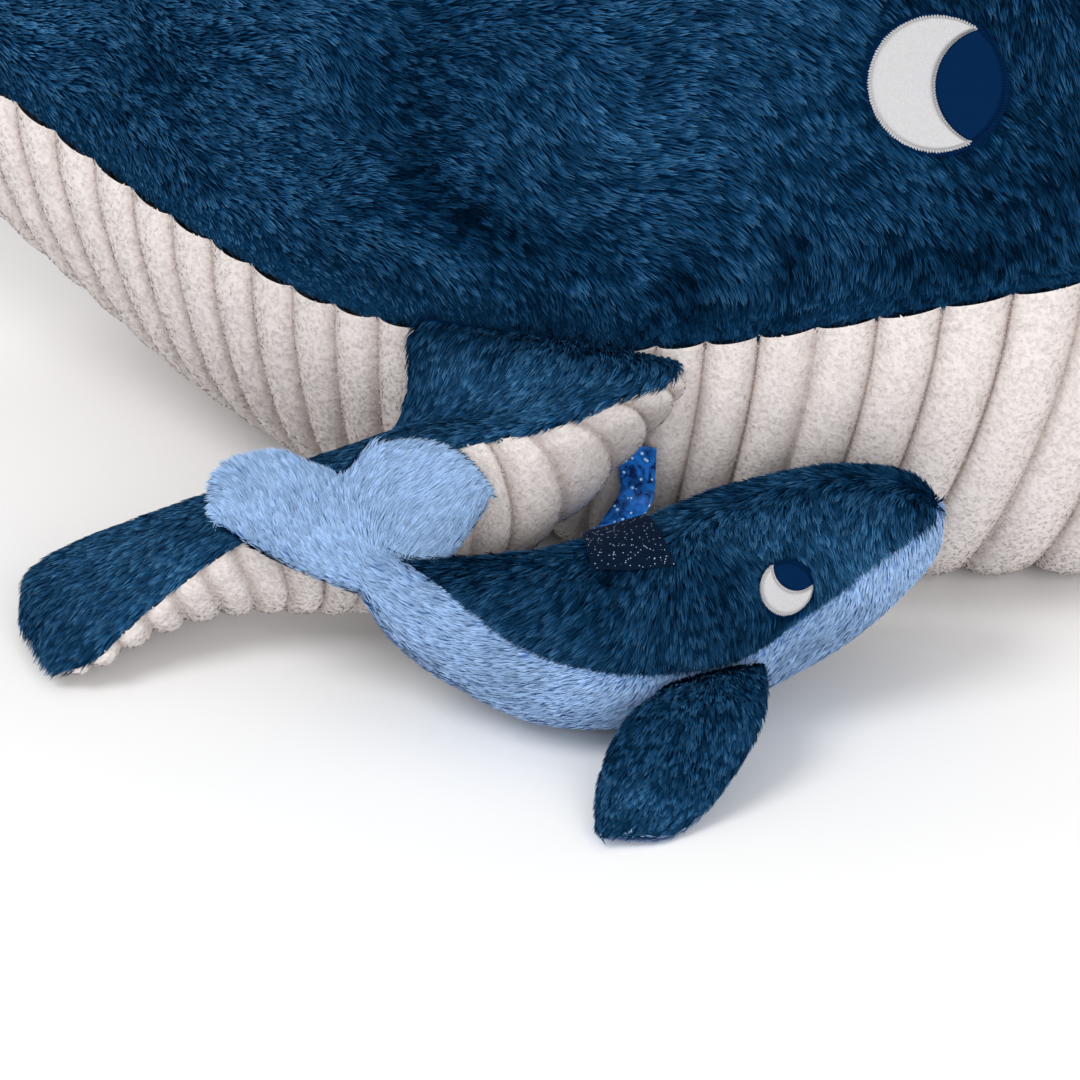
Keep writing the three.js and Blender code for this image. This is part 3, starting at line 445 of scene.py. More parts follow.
# A terry loop: where it starts, how it rises, how far it may lean and reach, and how light
# its three corners are, each times the tone of the cloth under it; its tip is painted lighter,
# a painted highlight
LOOP_FOOT = 0.05
LOOP_RISE = 0.45
LOOP_LEAN = (0.7, 1.2)
LOOP_REACH = (0.5, 1.2)
LOOP_TONES = (0.9, 0.9, 1.0)
LOOP_NORMAL_LEAN = 0.12


class Cloth(NamedTuple):
    """A grid over a form: its points, normals, places, shares and how light it looks."""
    points: np.ndarray
    normals: np.ndarray
    places: np.ndarray
    shares: np.ndarray
    tones: np.ndarray


def grid_normals(points):
    """Normals of a grid of points."""
    return unit(np.cross(np.gradient(points, axis=0), np.gradient(points, axis=1)))


def cloth_on(section, places, across, turn, relief, slip=None, tone=None, close=()):
    """A cloth over a form, from turn[0] to turn[1] around it; close names rows to draw shut."""
    place, share = np.meshgrid(places, np.linspace(0, 1, across), indexing="ij")
    at = place - slip(place, share) if slip else place
    angle = turn[0] + (turn[1] - turn[0]) * share
    found = section(at)
    smooth = form_point(found, angle)
    points = form_point(found, angle, relief(place, share, smooth))
    points[..., 2] = np.maximum(points[..., 2], CLOTH_FLOOR)
    normals = grid_normals(points)
    flip = -1 if np.sum(normals * (points - found.centre)) < 0 else 1
    tones = tone(place, share) if tone else np.full(place.shape, GROUND_TONE)
    for row in close:
        ring = points[row]
        middle = (ring[0] + ring[-1]) / 2
        caps = np.stack([middle + (ring - middle) * size for size in CAP_SIZES])
        if row == 0:
            caps = caps[::-1]
        spots = (0, 0) if row == 0 else (len(points), len(points))
        points = np.insert(points, spots, caps, axis=0)
        place, share, tones = (np.insert(grid, spots, grid[[row, row]], axis=0)
                               for grid in (place, share, tones))
    if close:
        normals = grid_normals(points)
    return Cloth(points, normals * flip, place, share, tones)


class Roots(NamedTuple):
    """Spots on a cloth where pile stands."""
    points: np.ndarray
    normals: np.ndarray
    ahead: np.ndarray
    around: np.ndarray
    places: np.ndarray
    shares: np.ndarray
    tones: np.ndarray


def roots_on(cloth, count, rng):
    """Spots spread evenly over a cloth."""
    p = cloth.points
    a = p[1:, :-1] - p[:-1, :-1]
    b = p[:-1, 1:] - p[:-1, :-1]
    area = np.linalg.norm(np.cross(a, b), axis=-1).ravel()
    total = np.cumsum(area)
    cell = np.searchsorted(total, rng.random(count) * total[-1])
    i, k = np.unravel_index(np.minimum(cell, len(area) - 1), a.shape[:2])
    u, v = rng.random(count), rng.random(count)

    def spot(grid):
        w = [(1 - u) * (1 - v), u * (1 - v), (1 - u) * v, u * v]
        corners = [grid[i, k], grid[i + 1, k], grid[i, k + 1], grid[i + 1, k + 1]]
        if grid.ndim == 3:
            w = [x[:, None] for x in w]
        return sum(x * c for x, c in zip(w, corners))
    return Roots(spot(p), unit(spot(cloth.normals)), unit(a[i, k]), unit(b[i, k]),
                 spot(cloth.places), spot(cloth.shares), spot(cloth.tones))


def pick(roots, mask):
    """The roots where the mask holds."""
    return Roots(*(values[mask] for values in roots))


def turned(vectors, axes, angles):
    """Vectors turned about axes that are square to them."""
    cos, sin = np.cos(angles)[:, None], np.sin(angles)[:, None]
    return vectors * cos + np.cross(axes, vectors) * sin


class Strands(NamedTuple):
    """Corners and triangles, with the tip share, tint and normal of each corner."""
    points: np.ndarray
    faces: np.ndarray
    tip: np.ndarray
    tint: np.ndarray
    normals: np.ndarray


class Pile(NamedTuple):
    """How blades of pile grow: sizes in millimetres, angles in radians."""
    length: float
    width: float
    rise: float
    clump: float
    swirl: float


def tufted(end, knee, share, rng):
    """Draws neighbouring blades together and gives each tuft one tint."""
    centres = max(len(end) // TUFT_BLADES, 1)
    tree = KDTree(centres)
    for k in range(centres):
        tree.insert(end[k], k)
    tree.balance()
    near = np.array([tree.find(point)[1] for point in end])
    pull = share * rng.uniform(*PULL_RANGE, len(end))[:, None]
    return (end + (end[near] - end) * pull, knee + (knee[near] - knee) * pull * KNEE_PULL,
            rng.random(centres)[near])


def strands(roots, flow, rng, pile, shade, clear=None, grow=None):
    """Bent and tapered blades that lie along the flow and gather into tufts."""
    n = roots.normals
    lay = unit(flow - n * np.sum(flow * n, -1, keepdims=True))
    count = len(n)
    sweep = pile.swirl * noise_sum(roots.points, SWEEP_NOISE)
    sweep = sweep + rng.normal(0, SWEEP_CHANCE, count)
    lay = turned(lay, n, sweep)
    lift = pile.rise * (1 + noise_sum(roots.points, RISE_NOISE))
    lift = (lift * rng.uniform(*WIDTH_RANGE, count))[:, None]
    size = pile.length * rng.uniform(*LENGTH_RANGE, count)
    size = (size * (1 + noise_sum(roots.points, LENGTH_NOISE)))[:, None]
    if grow:
        size = size * grow(roots)[:, None]
    tone = shade(roots)
    knee = roots.points + size * 0.5 * (lay * np.cos(lift) + n * np.sin(lift))
    far_lift = lift * RISE_AT_END
    end = knee + size * 0.5 * (lay * np.cos(far_lift) + n * np.sin(far_lift))
    end, knee, tuft = tufted(end, knee, pile.clump, rng)
    if clear:
        keep = clear(roots.points) & clear(knee) & clear(end) & clear((knee + end) / 2)
        n, lay, lift, knee, end, tuft, tone = (
            v[keep] for v in (n, lay, lift, knee, end, tuft, tone))
        roots = pick(roots, keep)
        count = len(n)
    sideways = turned(np.cross(lay, n), lay, rng.normal(0, BLADE_ROLL, count))
    across = sideways * (pile.width * rng.uniform(*WIDTH_RANGE, count) / 2)[:, None]
    foot = roots.points - n * FOOT_DEPTH
    points = np.stack([foot - across, foot + across, knee - across * KNEE_WIDTH,
                       knee + across * KNEE_WIDTH, end], 1)
    points[..., 2] = np.maximum(points[..., 2], PILE_FLOOR)
    out, face, ahead = NORMAL_PARTS
    lean = n * out + np.cross(sideways, lay) * face + lay * np.sin(lift) * ahead
    normals = np.stack([lean + sideways * side * NORMAL_SPREAD for side in (-1, 1, -1, 1, 0)], 1)
    first = np.arange(count)[:, None, None] * BLADE_CORNERS
    faces = np.array([[0, 1, 3], [0, 3, 2], [2, 3, 4]])[None] + first
    chance, group, area = TINT_PARTS
    tint = np.repeat(chance * rng.random(count) + group * tuft + area * tone, BLADE_CORNERS)
    return Strands(points.reshape(-1, 3), faces.reshape(-1, 3),
                   np.tile([0, 0, 0.5, 0.5, 1.0], count), tint, unit(normals).reshape(-1, 3))


def nap(cloth, count, rng, settings):
    """Short leaning loops of a terry pile on a cloth, one triangle each."""
    roots = roots_on(cloth, count, rng)
    n = roots.normals
    lean = unit(rng.normal(0, 1, (count, 3)))
    lean = unit(lean - n * np.sum(lean * n, -1, keepdims=True))
    width = settings.nap_width * rng.uniform(*WIDTH_RANGE, count)
    across = np.cross(lean, n) * (width / 2)[:, None]
    tall = (settings.nap_height * rng.uniform(*LOOP_REACH, count))[:, None]
    foot = roots.points + n * LOOP_FOOT
    end = foot + (n * LOOP_RISE + lean * rng.uniform(*LOOP_LEAN, count)[:, None]) * tall
    points = np.stack([foot - across, foot + across, end], 1)
    points[..., 2] = np.maximum(points[..., 2], NAP_FLOOR)
    faces = np.arange(count * 3).reshape(-1, 3)
    tip = roots.tones[:, None] * LOOP_TONES
    return Strands(points.reshape(-1, 3), faces, tip.ravel(), np.repeat(rng.random(count), 3),
                   np.repeat(unit(n + LOOP_NORMAL_LEAN * lean), 3, axis=0))


def grid_faces(rows, columns):
    """Triangles over a grid of points."""
    i, k = np.meshgrid(np.arange(rows - 1), np.arange(columns - 1), indexing="ij")
    a = (i * columns + k).ravel()
    b, c, d = a + columns, a + columns + 1, a + 1
    return np.concatenate([np.stack([a, b, c], 1), np.stack([a, c, d], 1)])


def cloth_strands(cloth):
    """The cloth itself as a mesh."""
    rows, columns = cloth.places.shape
    faces = grid_faces(rows, columns)
    a, b, c = (cloth.points.reshape(-1, 3)[faces[:, k]] for k in range(3))
    facing = np.cross(b - a, c - a) * cloth.normals.reshape(-1, 3)[faces[:, 0]]
    if np.sum(facing) < 0:
        faces = faces[:, ::-1]
    return Strands(cloth.points.reshape(-1, 3), faces, cloth.tones.ravel(),
                   np.full(rows * columns, 0.5), cloth.normals.reshape(-1, 3))


def plain_grid(points, tint=0.5):
    """A grid of points as a mesh that takes its normals from its faces."""
    rows, columns = points.shape[:2]
    return Strands(points.reshape(-1, 3), grid_faces(rows, columns), np.ones(rows * columns),
                   np.full(rows * columns, tint), None)


def joined(parts):
    """Several sets of strands as one."""
    points, faces, tips, tints, normals = zip(*parts)
    offsets = np.cumsum([0] + [len(part) for part in points])
    faces = [part + offset for part, offset in zip(faces, offsets)]
    return Strands(np.concatenate(points), np.concatenate(faces), np.concatenate(tips),
                   np.concatenate(tints),
                   None if normals[0] is None else np.concatenate(normals))


def furred(cloth, roots, flow, rng, pile, shade, clear=None, grow=None):
    """A cloth with the blades that stand on it."""
    return joined([cloth_strands(cloth), strands(roots, flow, rng, pile, shade, clear, grow)])


def piece_from(name, made, material):
    """A new object in metres from points in millimetres."""
    mesh = bpy.data.meshes.new(name)
    count = len(made.faces)
    mesh.vertices.add(len(made.points))
    mesh.vertices.foreach_set("co", (made.points * MM).astype(np.float32).ravel())
    mesh.loops.add(count * 3)
    mesh.loops.foreach_set("vertex_index", made.faces.astype(np.int32).ravel())
    mesh.polygons.add(count)
    mesh.polygons.foreach_set("loop_start", np.arange(0, count * 3, 3, dtype=np.int32))
    mesh.polygons.foreach_set("use_smooth", np.full(count, True))
    for label, values in (("tip", made.tip), ("tint", made.tint)):
        attribute = mesh.attributes.new(label, "FLOAT", "POINT")
        attribute.data.foreach_set("value", values.astype(np.float32))
    mesh.update(calc_edges=True)
    mesh.validate()
    if made.normals is not None:
        mesh.normals_split_custom_set_from_vertices(made.normals.astype(np.float32))
    mesh.materials.append(material)
    piece = bpy.data.objects.new(name, mesh)
    bpy.context.scene.collection.objects.link(piece)
    return piece


def dress(piece, slot, body, nodes=(), blend=None, padded=None):
    """Fastens a piece to the frame: what it stands for and the body it rides on; its slot is not
    used.
    """
    if nodes:
        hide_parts(*nodes)
    if blend:
        other, start, end = blend
        tuple(np.array(start) * MM)
        tuple(np.array(end) * MM)
        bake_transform(piece)
    else:
        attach(piece, body)


# Node groups and materials

def new_group(name, inputs, outputs):
    """An empty shader node group with its sockets."""
    group = bpy.data.node_groups.new(name, "ShaderNodeTree")
    for label, default in inputs:
        kind = "NodeSocketColor" if isinstance(default, tuple) else "NodeSocketFloat"
        socket = group.interface.new_socket(label, in_out="INPUT", socket_type=kind)
        socket.default_value = default
    for kind, label in outputs:
        group.interface.new_socket(label, in_out="OUTPUT", socket_type=kind)
    return group, group.nodes.new("NodeGroupInput"), group.nodes.new("NodeGroupOutput")


def add_node(tree, kind, links=None, **values):
    """A node with its properties, its socket values and its incoming links."""
    node = tree.nodes.new(kind)
    for key, value in values.items():
        setattr(node, key, value)
    for socket, source in (links or {}).items():
        if isinstance(source, bpy.types.NodeSocket):
            tree.links.new(source, node.inputs[socket])
        else:
            node.inputs[socket].default_value = source
    return node


def noise_node(tree, scale, detail, **more):
    """A noise over the object's own coordinates."""
    place = add_node(tree, "ShaderNodeTexCoord").outputs["Object"]
    return add_node(tree, "ShaderNodeTexNoise", {"Vector": place, "Scale": scale,
                                                "Detail": detail, **more}).outputs["Fac"]


def mix_colour(tree, factor, first, second, blend="MIX"):
    """The colour output of a mix of two colours."""
    return add_node(tree, "ShaderNodeMix", {0: factor, 6: first, 7: second}, data_type="RGBA",
                    blend_type=blend).outputs[2]


def math_node(tree, operation, *values):
    """The output of a maths node."""
    return add_node(tree, "ShaderNodeMath", dict(enumerate(values)),
                    operation=operation).outputs[0]


def pile_group():
    """Colour and height of a pile: painted shade at its foot, painted highlights at its tips, tufts
    uneven.
    """
    if "Pile" in bpy.data.node_groups:
        return bpy.data.node_groups["Pile"]
    group, start, end = new_group("Pile", [
        ("Foot", (0, 0, 0, 1)), ("Middle", (0, 0, 0, 1)), ("Tip", (1, 1, 1, 1)),
        ("Tip Choice", 1.0), ("Unevenness", 0.3), ("Grain", 0.3), ("Grain Scale", 900.0),
    ], [("NodeSocketColor", "Color"), ("NodeSocketFloat", "Height")])
    tip, tint = (add_node(group, "ShaderNodeAttribute", attribute_name=name).outputs["Fac"]
                 for name in ("tip", "tint"))
    grain = noise_node(group, start.outputs["Grain Scale"], 3.0)

    def off_half(value, weight):
        """A value less one half, times a weight."""
        return math_node(group, "MULTIPLY", math_node(group, "SUBTRACT", value, 0.5), weight)
    # The foot colour is a painted shade deep in the pile
    low = mix_colour(group, math_node(group, "MULTIPLY", tip, 2.0),
                     start.outputs["Foot"], start.outputs["Middle"])
    # Tips take the tip colour, a painted highlight, kept more to the lighter blades as Tip Choice
    # rises
    bright = math_node(group, "MULTIPLY", math_node(group, "MAXIMUM", off_half(tip, 2.0), 0.0),
                       math_node(group, "POWER", math_node(group, "MAXIMUM", tint, 0.0),
                                 start.outputs["Tip Choice"]))
    colour = mix_colour(group, bright, low, start.outputs["Tip"])
    # The tint lightens or darkens each blade: random tone, and on the back and flippers painted
    # light and shade
    light = math_node(group, "ADD", off_half(tint, start.outputs["Unevenness"]),
                      off_half(grain, start.outputs["Grain"]))
    light = math_node(group, "MAXIMUM", math_node(group, "ADD", light, 1.0), 0.15)
    grey = add_node(group, "ShaderNodeCombineColor", {"Red": light, "Green": light, "Blue": light})
    shaded = mix_colour(group, 1.0, colour, grey.outputs["Color"], "MULTIPLY")
    group.links.new(shaded, end.inputs["Color"])
    group.links.new(grain, end.inputs["Height"])
    return group


def new_material(name, roughness, sheen=0.0, specular=0.5):
    """A material with its Principled shader."""
    material = bpy.data.materials.new(name)
    material.use_nodes = True
    shader = material.node_tree.nodes["Principled BSDF"]
    shader.inputs["Roughness"].default_value = roughness
    shader.inputs["Specular IOR Level"].default_value = specular
    shader.inputs["Sheen Weight"].default_value = sheen
    return material, material.node_tree, shader


def bump_from(tree, shader, height, strength, distance):
    """Drives the shader's normal from a height in metres."""
    bump = add_node(tree, "ShaderNodeBump", {"Height": height, "Strength": strength,
                                            "Distance": distance})
    tree.links.new(bump.outputs["Normal"], shader.inputs["Normal"])


class Plush(NamedTuple):
    """How the pile of one plush looks in its material."""
    # How far the painted highlight of the tip colour keeps to the lighter blades
    tip_choice: float
    unevenness: float
    grain: float
    grain_scale: float
    sheen: float
    specular: float
    bump: float


# For each slot of plush: its material, the first word of its three colours and its look
PLUSHES = {
    "navy_plush": ("Navy Pile", "navy", Plush(1.5, 1.3, 0.25, 900.0, 0.0, 0.0, 0.15)),
    "cream_ribbed_plush": ("Cream Terry", "cream", Plush(0.0, 0.06, 0.14, 850.0, 0.1, 0.1, 0.45)),
    "light_blue_plush": ("Light Blue Pile", "blue", Plush(0.5, 0.5, 0.15, 500.0, 0.05, 0.05, 0.15)),
}


def plush_material(slot):
    """The plush of a slot: the shared pile colours with its own values."""
    name, word, look = PLUSHES[slot]
    if name in bpy.data.materials:
        return bpy.data.materials[name]
    material, tree, shader = new_material(name, 0.8, look.sheen, look.specular)
    group = add_node(tree, "ShaderNodeGroup", node_tree=pile_group())
    for part in ("foot", "middle", "tip"):
        colour = getattr(bpy.context.scene.plush_colours, f"{word}_{part}")
        group.inputs[part.title()].default_value = (*colour, 1)
    for label, value in zip(("Tip Choice", "Unevenness", "Grain", "Grain Scale"), look):
        group.inputs[label].default_value = value
    tree.links.new(group.outputs["Color"], shader.inputs["Base Color"])
    bump_from(tree, shader, group.outputs["Height"], look.bump, 0.0008)
    return material


class Finish(NamedTuple):
    """A plain finish: how it shines, its grain and how far the grain shows and stands out."""
    roughness: float
    specular: float
    scale: float
    detail: float
    darkest: float
    lightest: float
    bump: float
    depth: float


FELT = Finish(0.92, 0.0, 1500.0, 4.0, 0.88, 1.12, 0.6, 0.0004)
RATTLE = Finish(0.45, 0.5, 400.0, 3.0, 0.9, 1.0, 0.1, 0.0005)
FILM = Finish(0.25, 0.5, 160.0, 3.0, 0.9, 1.0, 1.0, 0.0005)


def grained_material(name, colour, finish):
    """A plain finish with a fine grain in its colour and surface."""
    if name in bpy.data.materials:
        return bpy.data.materials[name]
    material, tree, shader = new_material(name, finish.roughness, 0.0, finish.specular)
    grain = noise_node(tree, finish.scale, finish.detail)
    dark, light = ((*[min(1.0, part * share) for part in colour], 1)
                   for share in (finish.darkest, finish.lightest))
    tree.links.new(mix_colour(tree, grain, dark, light), shader.inputs["Base Color"])
    bump_from(tree, shader, grain, finish.bump, finish.depth)
    return material


def plush_piece(name, made, slot, body, nodes=(), blend=None, padded=None):
    """A piece of plush with the material of its slot, fastened to the frame."""
    dress(piece_from(name, made, plush_material(slot)), slot, body, nodes, blend, padded)


# Pieces of the whale

# Seeds of the random draws
SEEDS = {"back": 11, "belly": 12, "flipper": 20, "flukes": 31, "small_body": 41,
         "small_flukes": 51, "fin": 60, "eye": 71}
# Step along the whale's cloth in mm and points across it, from seam to seam
BACK_GRID = (2.4, 121)
BELLY_GRID = (1.1, 81)
# Points along a cloth and across it, from seam to seam
FLIPPER_GRID = (90, 41)
FLIPPER_RIB_GRID = (210, 51)
FLUKE_GRID = (181, 41)
SMALL_GRID = (110, 49)
SMALL_FLUKE_GRID = (91, 33)
FIN_GRID = (60, 31)
PATCH_GRID = (40, 50)
# How full of filling the stuffed pieces are
PADDING = {"whale": 0.9, "flipper": 0.8, "flukes": 0.4, "small_whale": 0.85, "fin": 0.5}
# Where the cloth of the whale starts and ends along its body
CLOTH_START = -337.0
CLOTH_END = NOSE_REACH - 0.02


def pinch(share, depth, width):
    """How far cloth is drawn in beside its two seams."""
    edge = np.minimum(share, 1 - share)
    return -depth * np.exp(-(edge / width) ** 2)


def rib_phase(x):
    """How many ribs lie between the tail and x; the ribs spread towards the head."""
    rings = [RIB_START]
    while rings[-1] < NOSE_REACH + 40:
        share = float(ease(*RIB_SPREAD, rings[-1]))
        rings.append(rings[-1] + (RIB_PITCH + (RIB_PITCH_AT_HEAD - RIB_PITCH) * share) / 2)
    return np.interp(x, rings, np.arange(len(rings)) / 2)


def rib_relief(phase, depth):
    """Round ribs with narrow valleys; phase counts ribs."""
    from_crest = 2 * (phase % 1.0) - 1
    return depth * (2 * np.sqrt(1 - RIB_ROUNDNESS * from_crest**2) - 1)


def whale_places(step):
    """Places along the body that draw together at the nose."""
    straight = np.arange(CLOTH_START, NOSE_START, step)
    reach = CLOTH_END - NOSE_START
    turn = np.linspace(0, math.asin(reach / (NOSE_REACH - NOSE_START)), int(reach / step * 1.6) + 2)
    return np.concatenate([straight, NOSE_START + (NOSE_REACH - NOSE_START) * np.sin(turn)])


# The creases and bumps shape the cloth and are painted into the pile's tint as well: painted shade
# in the creases, painted highlights on the bumps
# Creases and, where the depth is negative, bumps of the back: place along the body, share
# across it, length, width and depth in mm and the turn from the body's axis in degrees
BACK_CREASES = [
    (-29, 0.925, 32, 8, 3.4, 22),
    (-50, 0.835, 22, 14, 2.6, 80),
    (34, 0.955, 13, 7, 2.8, 90),
    (62, 0.943, 11, 7, 2.6, 90),
    (8, 0.932, 7, 6, 1.6, 0),
    (-125, 0.89, 12, 9, 2.0, 60),
    (96, 0.955, 18, 7, 1.6, 10),
    (8, 0.966, 9, 7, -1.6, 0),
    (-30, 0.962, 16, 6, -1.2, 10),
    (10, 0.86, 24, 8, -1.2, 25),
    (46, 0.95, 9, 6, -1.2, 90),
    (20, 0.62, 60, 14, 2.0, 8),
    (-60, 0.30, 40, 10, 2.6, -14),
    (40, 0.22, 34, 9, 2.6, -50),
]
# Millimetres for one share across the back, and how much a crease bends
BACK_SPREAD = 400.0
CREASE_BEND = 0.004
# Lumps of stuffing and of shading: height, size in mm and seed
BACK_LUMPS = ((2.4, 64.0, 1), (1.1, 24.0, 2))
BELLY_LUMPS = ((0.7, 40.0, 3),)
FLIPPER_LUMPS = ((0.9, 30.0, 4),)
FLUKE_LUMPS = ((0.8, 30.0, 4),)
SMALL_LUMPS = ((0.9, 22.0, 9),)
SMALL_FLUKE_LUMPS = ((0.5, 14.0, 3),)
BACK_PATCHES = ((0.3, 42.0, 12), (0.25, 15.0, 13))
FLIPPER_PATCHES = ((0.5, 34.0, 14), (0.35, 12.0, 15))
SOFT_PATCHES = ((0.5, 22.0, 16), (0.4, 9.0, 17))
BLUE_PATCHES = ((0.7, 17.0, 18), (0.3, 6.0, 19))
# How far cloth lies inside its form so that pile or ribs have room, in mm
BACK_INSET = 2.2
BELLY_INSET = 2.0
FLIPPER_INSET = 1.5
FLUKE_INSET = 1.0
RIBBED_INSET = 1.6
SMALL_INSET = 1.6
SMALL_FLUKE_DEPTH = 0.8
FIN_DEPTH = 0.5
# How deep cloth is drawn in beside its seams, in mm, and over which share across it
BACK_PINCH = (2.2, 0.025)
BELLY_PINCH = (2.0, 0.012)
FLIPPER_PINCH = (1.2, 0.03)
FLIPPER_RIB_PINCH = (1.0, 0.02)
SMALL_PINCH = (0.9, 0.03)
# Over which share beside a seam the lumps of the back set in
LUMP_FADE = 0.1
# How round a rib is, where ribs set in and end along a limb and how deep ribs are in mm
RIB_ROUNDNESS = 0.96
FLIPPER_RIB_START = (0.03, 0.09)
FLIPPER_RIB_END = (0.97, 1.0)
FLUKE_RIB_END = (0.9, 1.0)
RIB_DEPTH = 2.1
FLIPPER_RIB_DEPTH = 1.9
FLUKE_RIB_DEPTH = 1.4


def back_creases(place, share):
    """How deep the creases of the back are, in millimetres."""
    total = np.zeros(np.shape(place))
    for x, across, long, wide, depth, turn in BACK_CREASES:
        angle = math.radians(turn)
        dx, dy = place - x, (share - across) * BACK_SPREAD
        u = dx * math.cos(angle) + dy * math.sin(angle)
        v = dy * math.cos(angle) - dx * math.sin(angle) + CREASE_BEND * u * u
        total += depth * np.exp(-(u / long) ** 2 - (v / wide) ** 2)
    return total


def back_relief(place, share, smooth):
    """The navy back: soft lumps of the stuffing, drawn in at the seams."""
    inside = ease(0, LUMP_FADE, np.minimum(share, 1 - share))
    lumps = noise_sum(smooth, BACK_LUMPS) - back_creases(place, share)
    return -BACK_INSET + lumps * inside + pinch(share, *BACK_PINCH)


def belly_relief(place, share, smooth):
    """The cream belly: ribs of stuffed terry that end at the seams."""
    ribs = rib_relief(rib_phase(place), RIB_DEPTH)
    return -BELLY_INSET + ribs + pinch(share, *BELLY_PINCH) + noise_sum(smooth, BELLY_LUMPS)


# How sharply the lay of pile turns over at the middle of a cloth
SIDE_SHARPNESS = 14
# How much lighter the ground of a navy cloth looks at its edges, and how wide they are
EDGE_LIGHT = 0.5
EDGE_WIDTH = 0.03
# The tail and where along the back its blend is given
TAIL_BLEND = ("tail", (-165.0, 0, 124), (-222.0, 0, 124))


def down_side(roots):
    """1 where down is with the share on a back cloth, -1 on its other half."""
    return np.tanh((roots.shares - 0.5) * SIDE_SHARPNESS)


def edge_tone(place, share):
    """How light the ground of a navy cloth looks: dark, near the foot colour with its painted
    shade, and lighter at its two edges.
    """
    edge = np.minimum(share, 1 - share)
    return GROUND_TONE + EDGE_LIGHT * (1 - ease(0.0, EDGE_WIDTH, edge))


def back_cloth():
    """The cloth of the whale's back and tail."""
    step, across = BACK_GRID
    return cloth_on(body_section, whale_places(step), across, OVER, back_relief,
                    tone=edge_tone, close=(0,))


class Stitch(NamedTuple):
    """Satin stitches: the step between them and their length, width and height."""
    step: float
    long: float
    wide: float
    high: float


class Eyes(NamedTuple):
    """The two eyes of a whale: where they lie on its form and how large they are."""
    section: object
    place: float
    angle: float
    step: float
    radius: float
    tilts: dict
    lift: float
    clearance: float
    body: str
    prefix: str
    thickness: float
    stitch: Stitch


WHALE_EYES = Eyes(body_section, EYE_X, EYE_ANGLE, 2.0, EYE_RADIUS, {-1: EYE_TILT, 1: -EYE_TILT},
                  0.5, 0.9, "body", "", 2.6, Stitch(0.75, 2.2, 0.9, 0.7))
SMALL_EYES = Eyes(small_section, SMALL_EYE_PLACE, SMALL_EYE_ANGLE, 0.01, SMALL_EYE_RADIUS,
                  {-1: SMALL_EYE_TILT, 1: SMALL_EYE_TILT}, 0.3, 0.6, "small_whale", "small_", 1.7,
                  Stitch(0.5, 1.2, 0.55, 0.45))


def eye_angle(eyes, hand):
    """The angle of an eye around its form."""
    return math.radians(eyes.angle if hand < 0 else 180 - eyes.angle)


def off_eyes(eyes):
    """A test that is true for points off both eyes."""
    section = eyes.section(np.array(eyes.place))
    centres = [form_point(section, np.array(eye_angle(eyes, hand)), eyes.lift) for hand in SIDES]
    radius = eyes.radius + eyes.clearance

    def clear(points):
        return np.all([np.linalg.norm(points - c, axis=-1) > radius for c in centres], axis=0)
    return clear


# Lay of the pile, in degrees from the head's direction towards the seam, at places along the
# body: on the ridge, halfway down and beside the seam
LAY_PLACES = (-330, -120, -40, 20, 55, 100, 150, 224)
LAY_RIDGE = (6, 6, 8, 10, 14, 22, 40, 60)
LAY_SIDE = (10, 10, 10, 18, 36, 40, 60, 80)
LAY_SEAM = (45, 50, 60, 84, 96, 70, 70, 80)
# Where the lay goes over from the ridge to halfway down and on to the seam
LAY_TO_SIDE = (0.2, 0.6)
LAY_TO_SEAM = (0.84, 0.98)
# Painted light and shade of the back: where its rear, painted lighter, and its front, painted
# darker, fade, and how much they and the creases shade, painted darker in creases, lighter on bumps
REAR_FADE = (-120, -50)
FRONT_FADE = (50, 110)
REAR_PAINTED_LIGHT = 0.4
FRONT_PAINTED_SHADE = 0.3
CREASE_PAINTED_SHADE = 0.3
# Beside the seams: least length of pile, what is added away from them and over which share
SEAM_LENGTH = 0.42
SEAM_ADDED = 0.58
SEAM_REACH = (0.004, 0.045)


def back_lay(roots):
    """The way the pile of the back lies."""
    ridge, side, seam = (np.interp(roots.places, LAY_PLACES, row)
                         for row in (LAY_RIDGE, LAY_SIDE, LAY_SEAM))
    out = np.abs(roots.shares - 0.5) * 2
    angle = ridge + (side - ridge) * ease(*LAY_TO_SIDE, out)
    angle = np.radians(angle + (seam - angle) * ease(*LAY_TO_SEAM, out))
    down = roots.around * down_side(roots)[:, None]
    return roots.ahead * np.cos(angle)[:, None] + down * np.sin(angle)[:, None]


def back_shade(roots):
    """Light and dark areas of the back's pile, from -1 to 1: random patches, painted shade in
    creases, painted highlights on bumps, the rear painted lighter and the front darker.
    """
    rear = 1 - ease(*REAR_FADE, roots.places)
    front = ease(*FRONT_FADE, roots.places)
    return (noise_sum(roots.points, BACK_PATCHES)
            - CREASE_PAINTED_SHADE * back_creases(roots.places, roots.shares)
            + REAR_PAINTED_LIGHT * rear - FRONT_PAINTED_SHADE * front)


def seam_growth(roots):
    """Shorter pile beside the seams, which keeps their edges neat."""
    edge = np.minimum(roots.shares, 1 - roots.shares)
    return SEAM_LENGTH + SEAM_ADDED * ease(*SEAM_REACH, edge)


def part_of(made, mask):
    """The blades of a set where the mask holds."""
    keep, faces = np.repeat(mask, BLADE_CORNERS), np.repeat(mask, BLADE_FACES)
    index = np.cumsum(keep) - 1
    return Strands(made.points[keep], index[made.faces[faces]], made.tip[keep],
                   made.tint[keep], made.normals[keep])


def pile_of(settings, length, width, swirl=1.0):
    """Pile of a length and width, with the swirl of the settings scaled."""
    return Pile(length, width, settings.rise, settings.clump, settings.swirl * swirl)


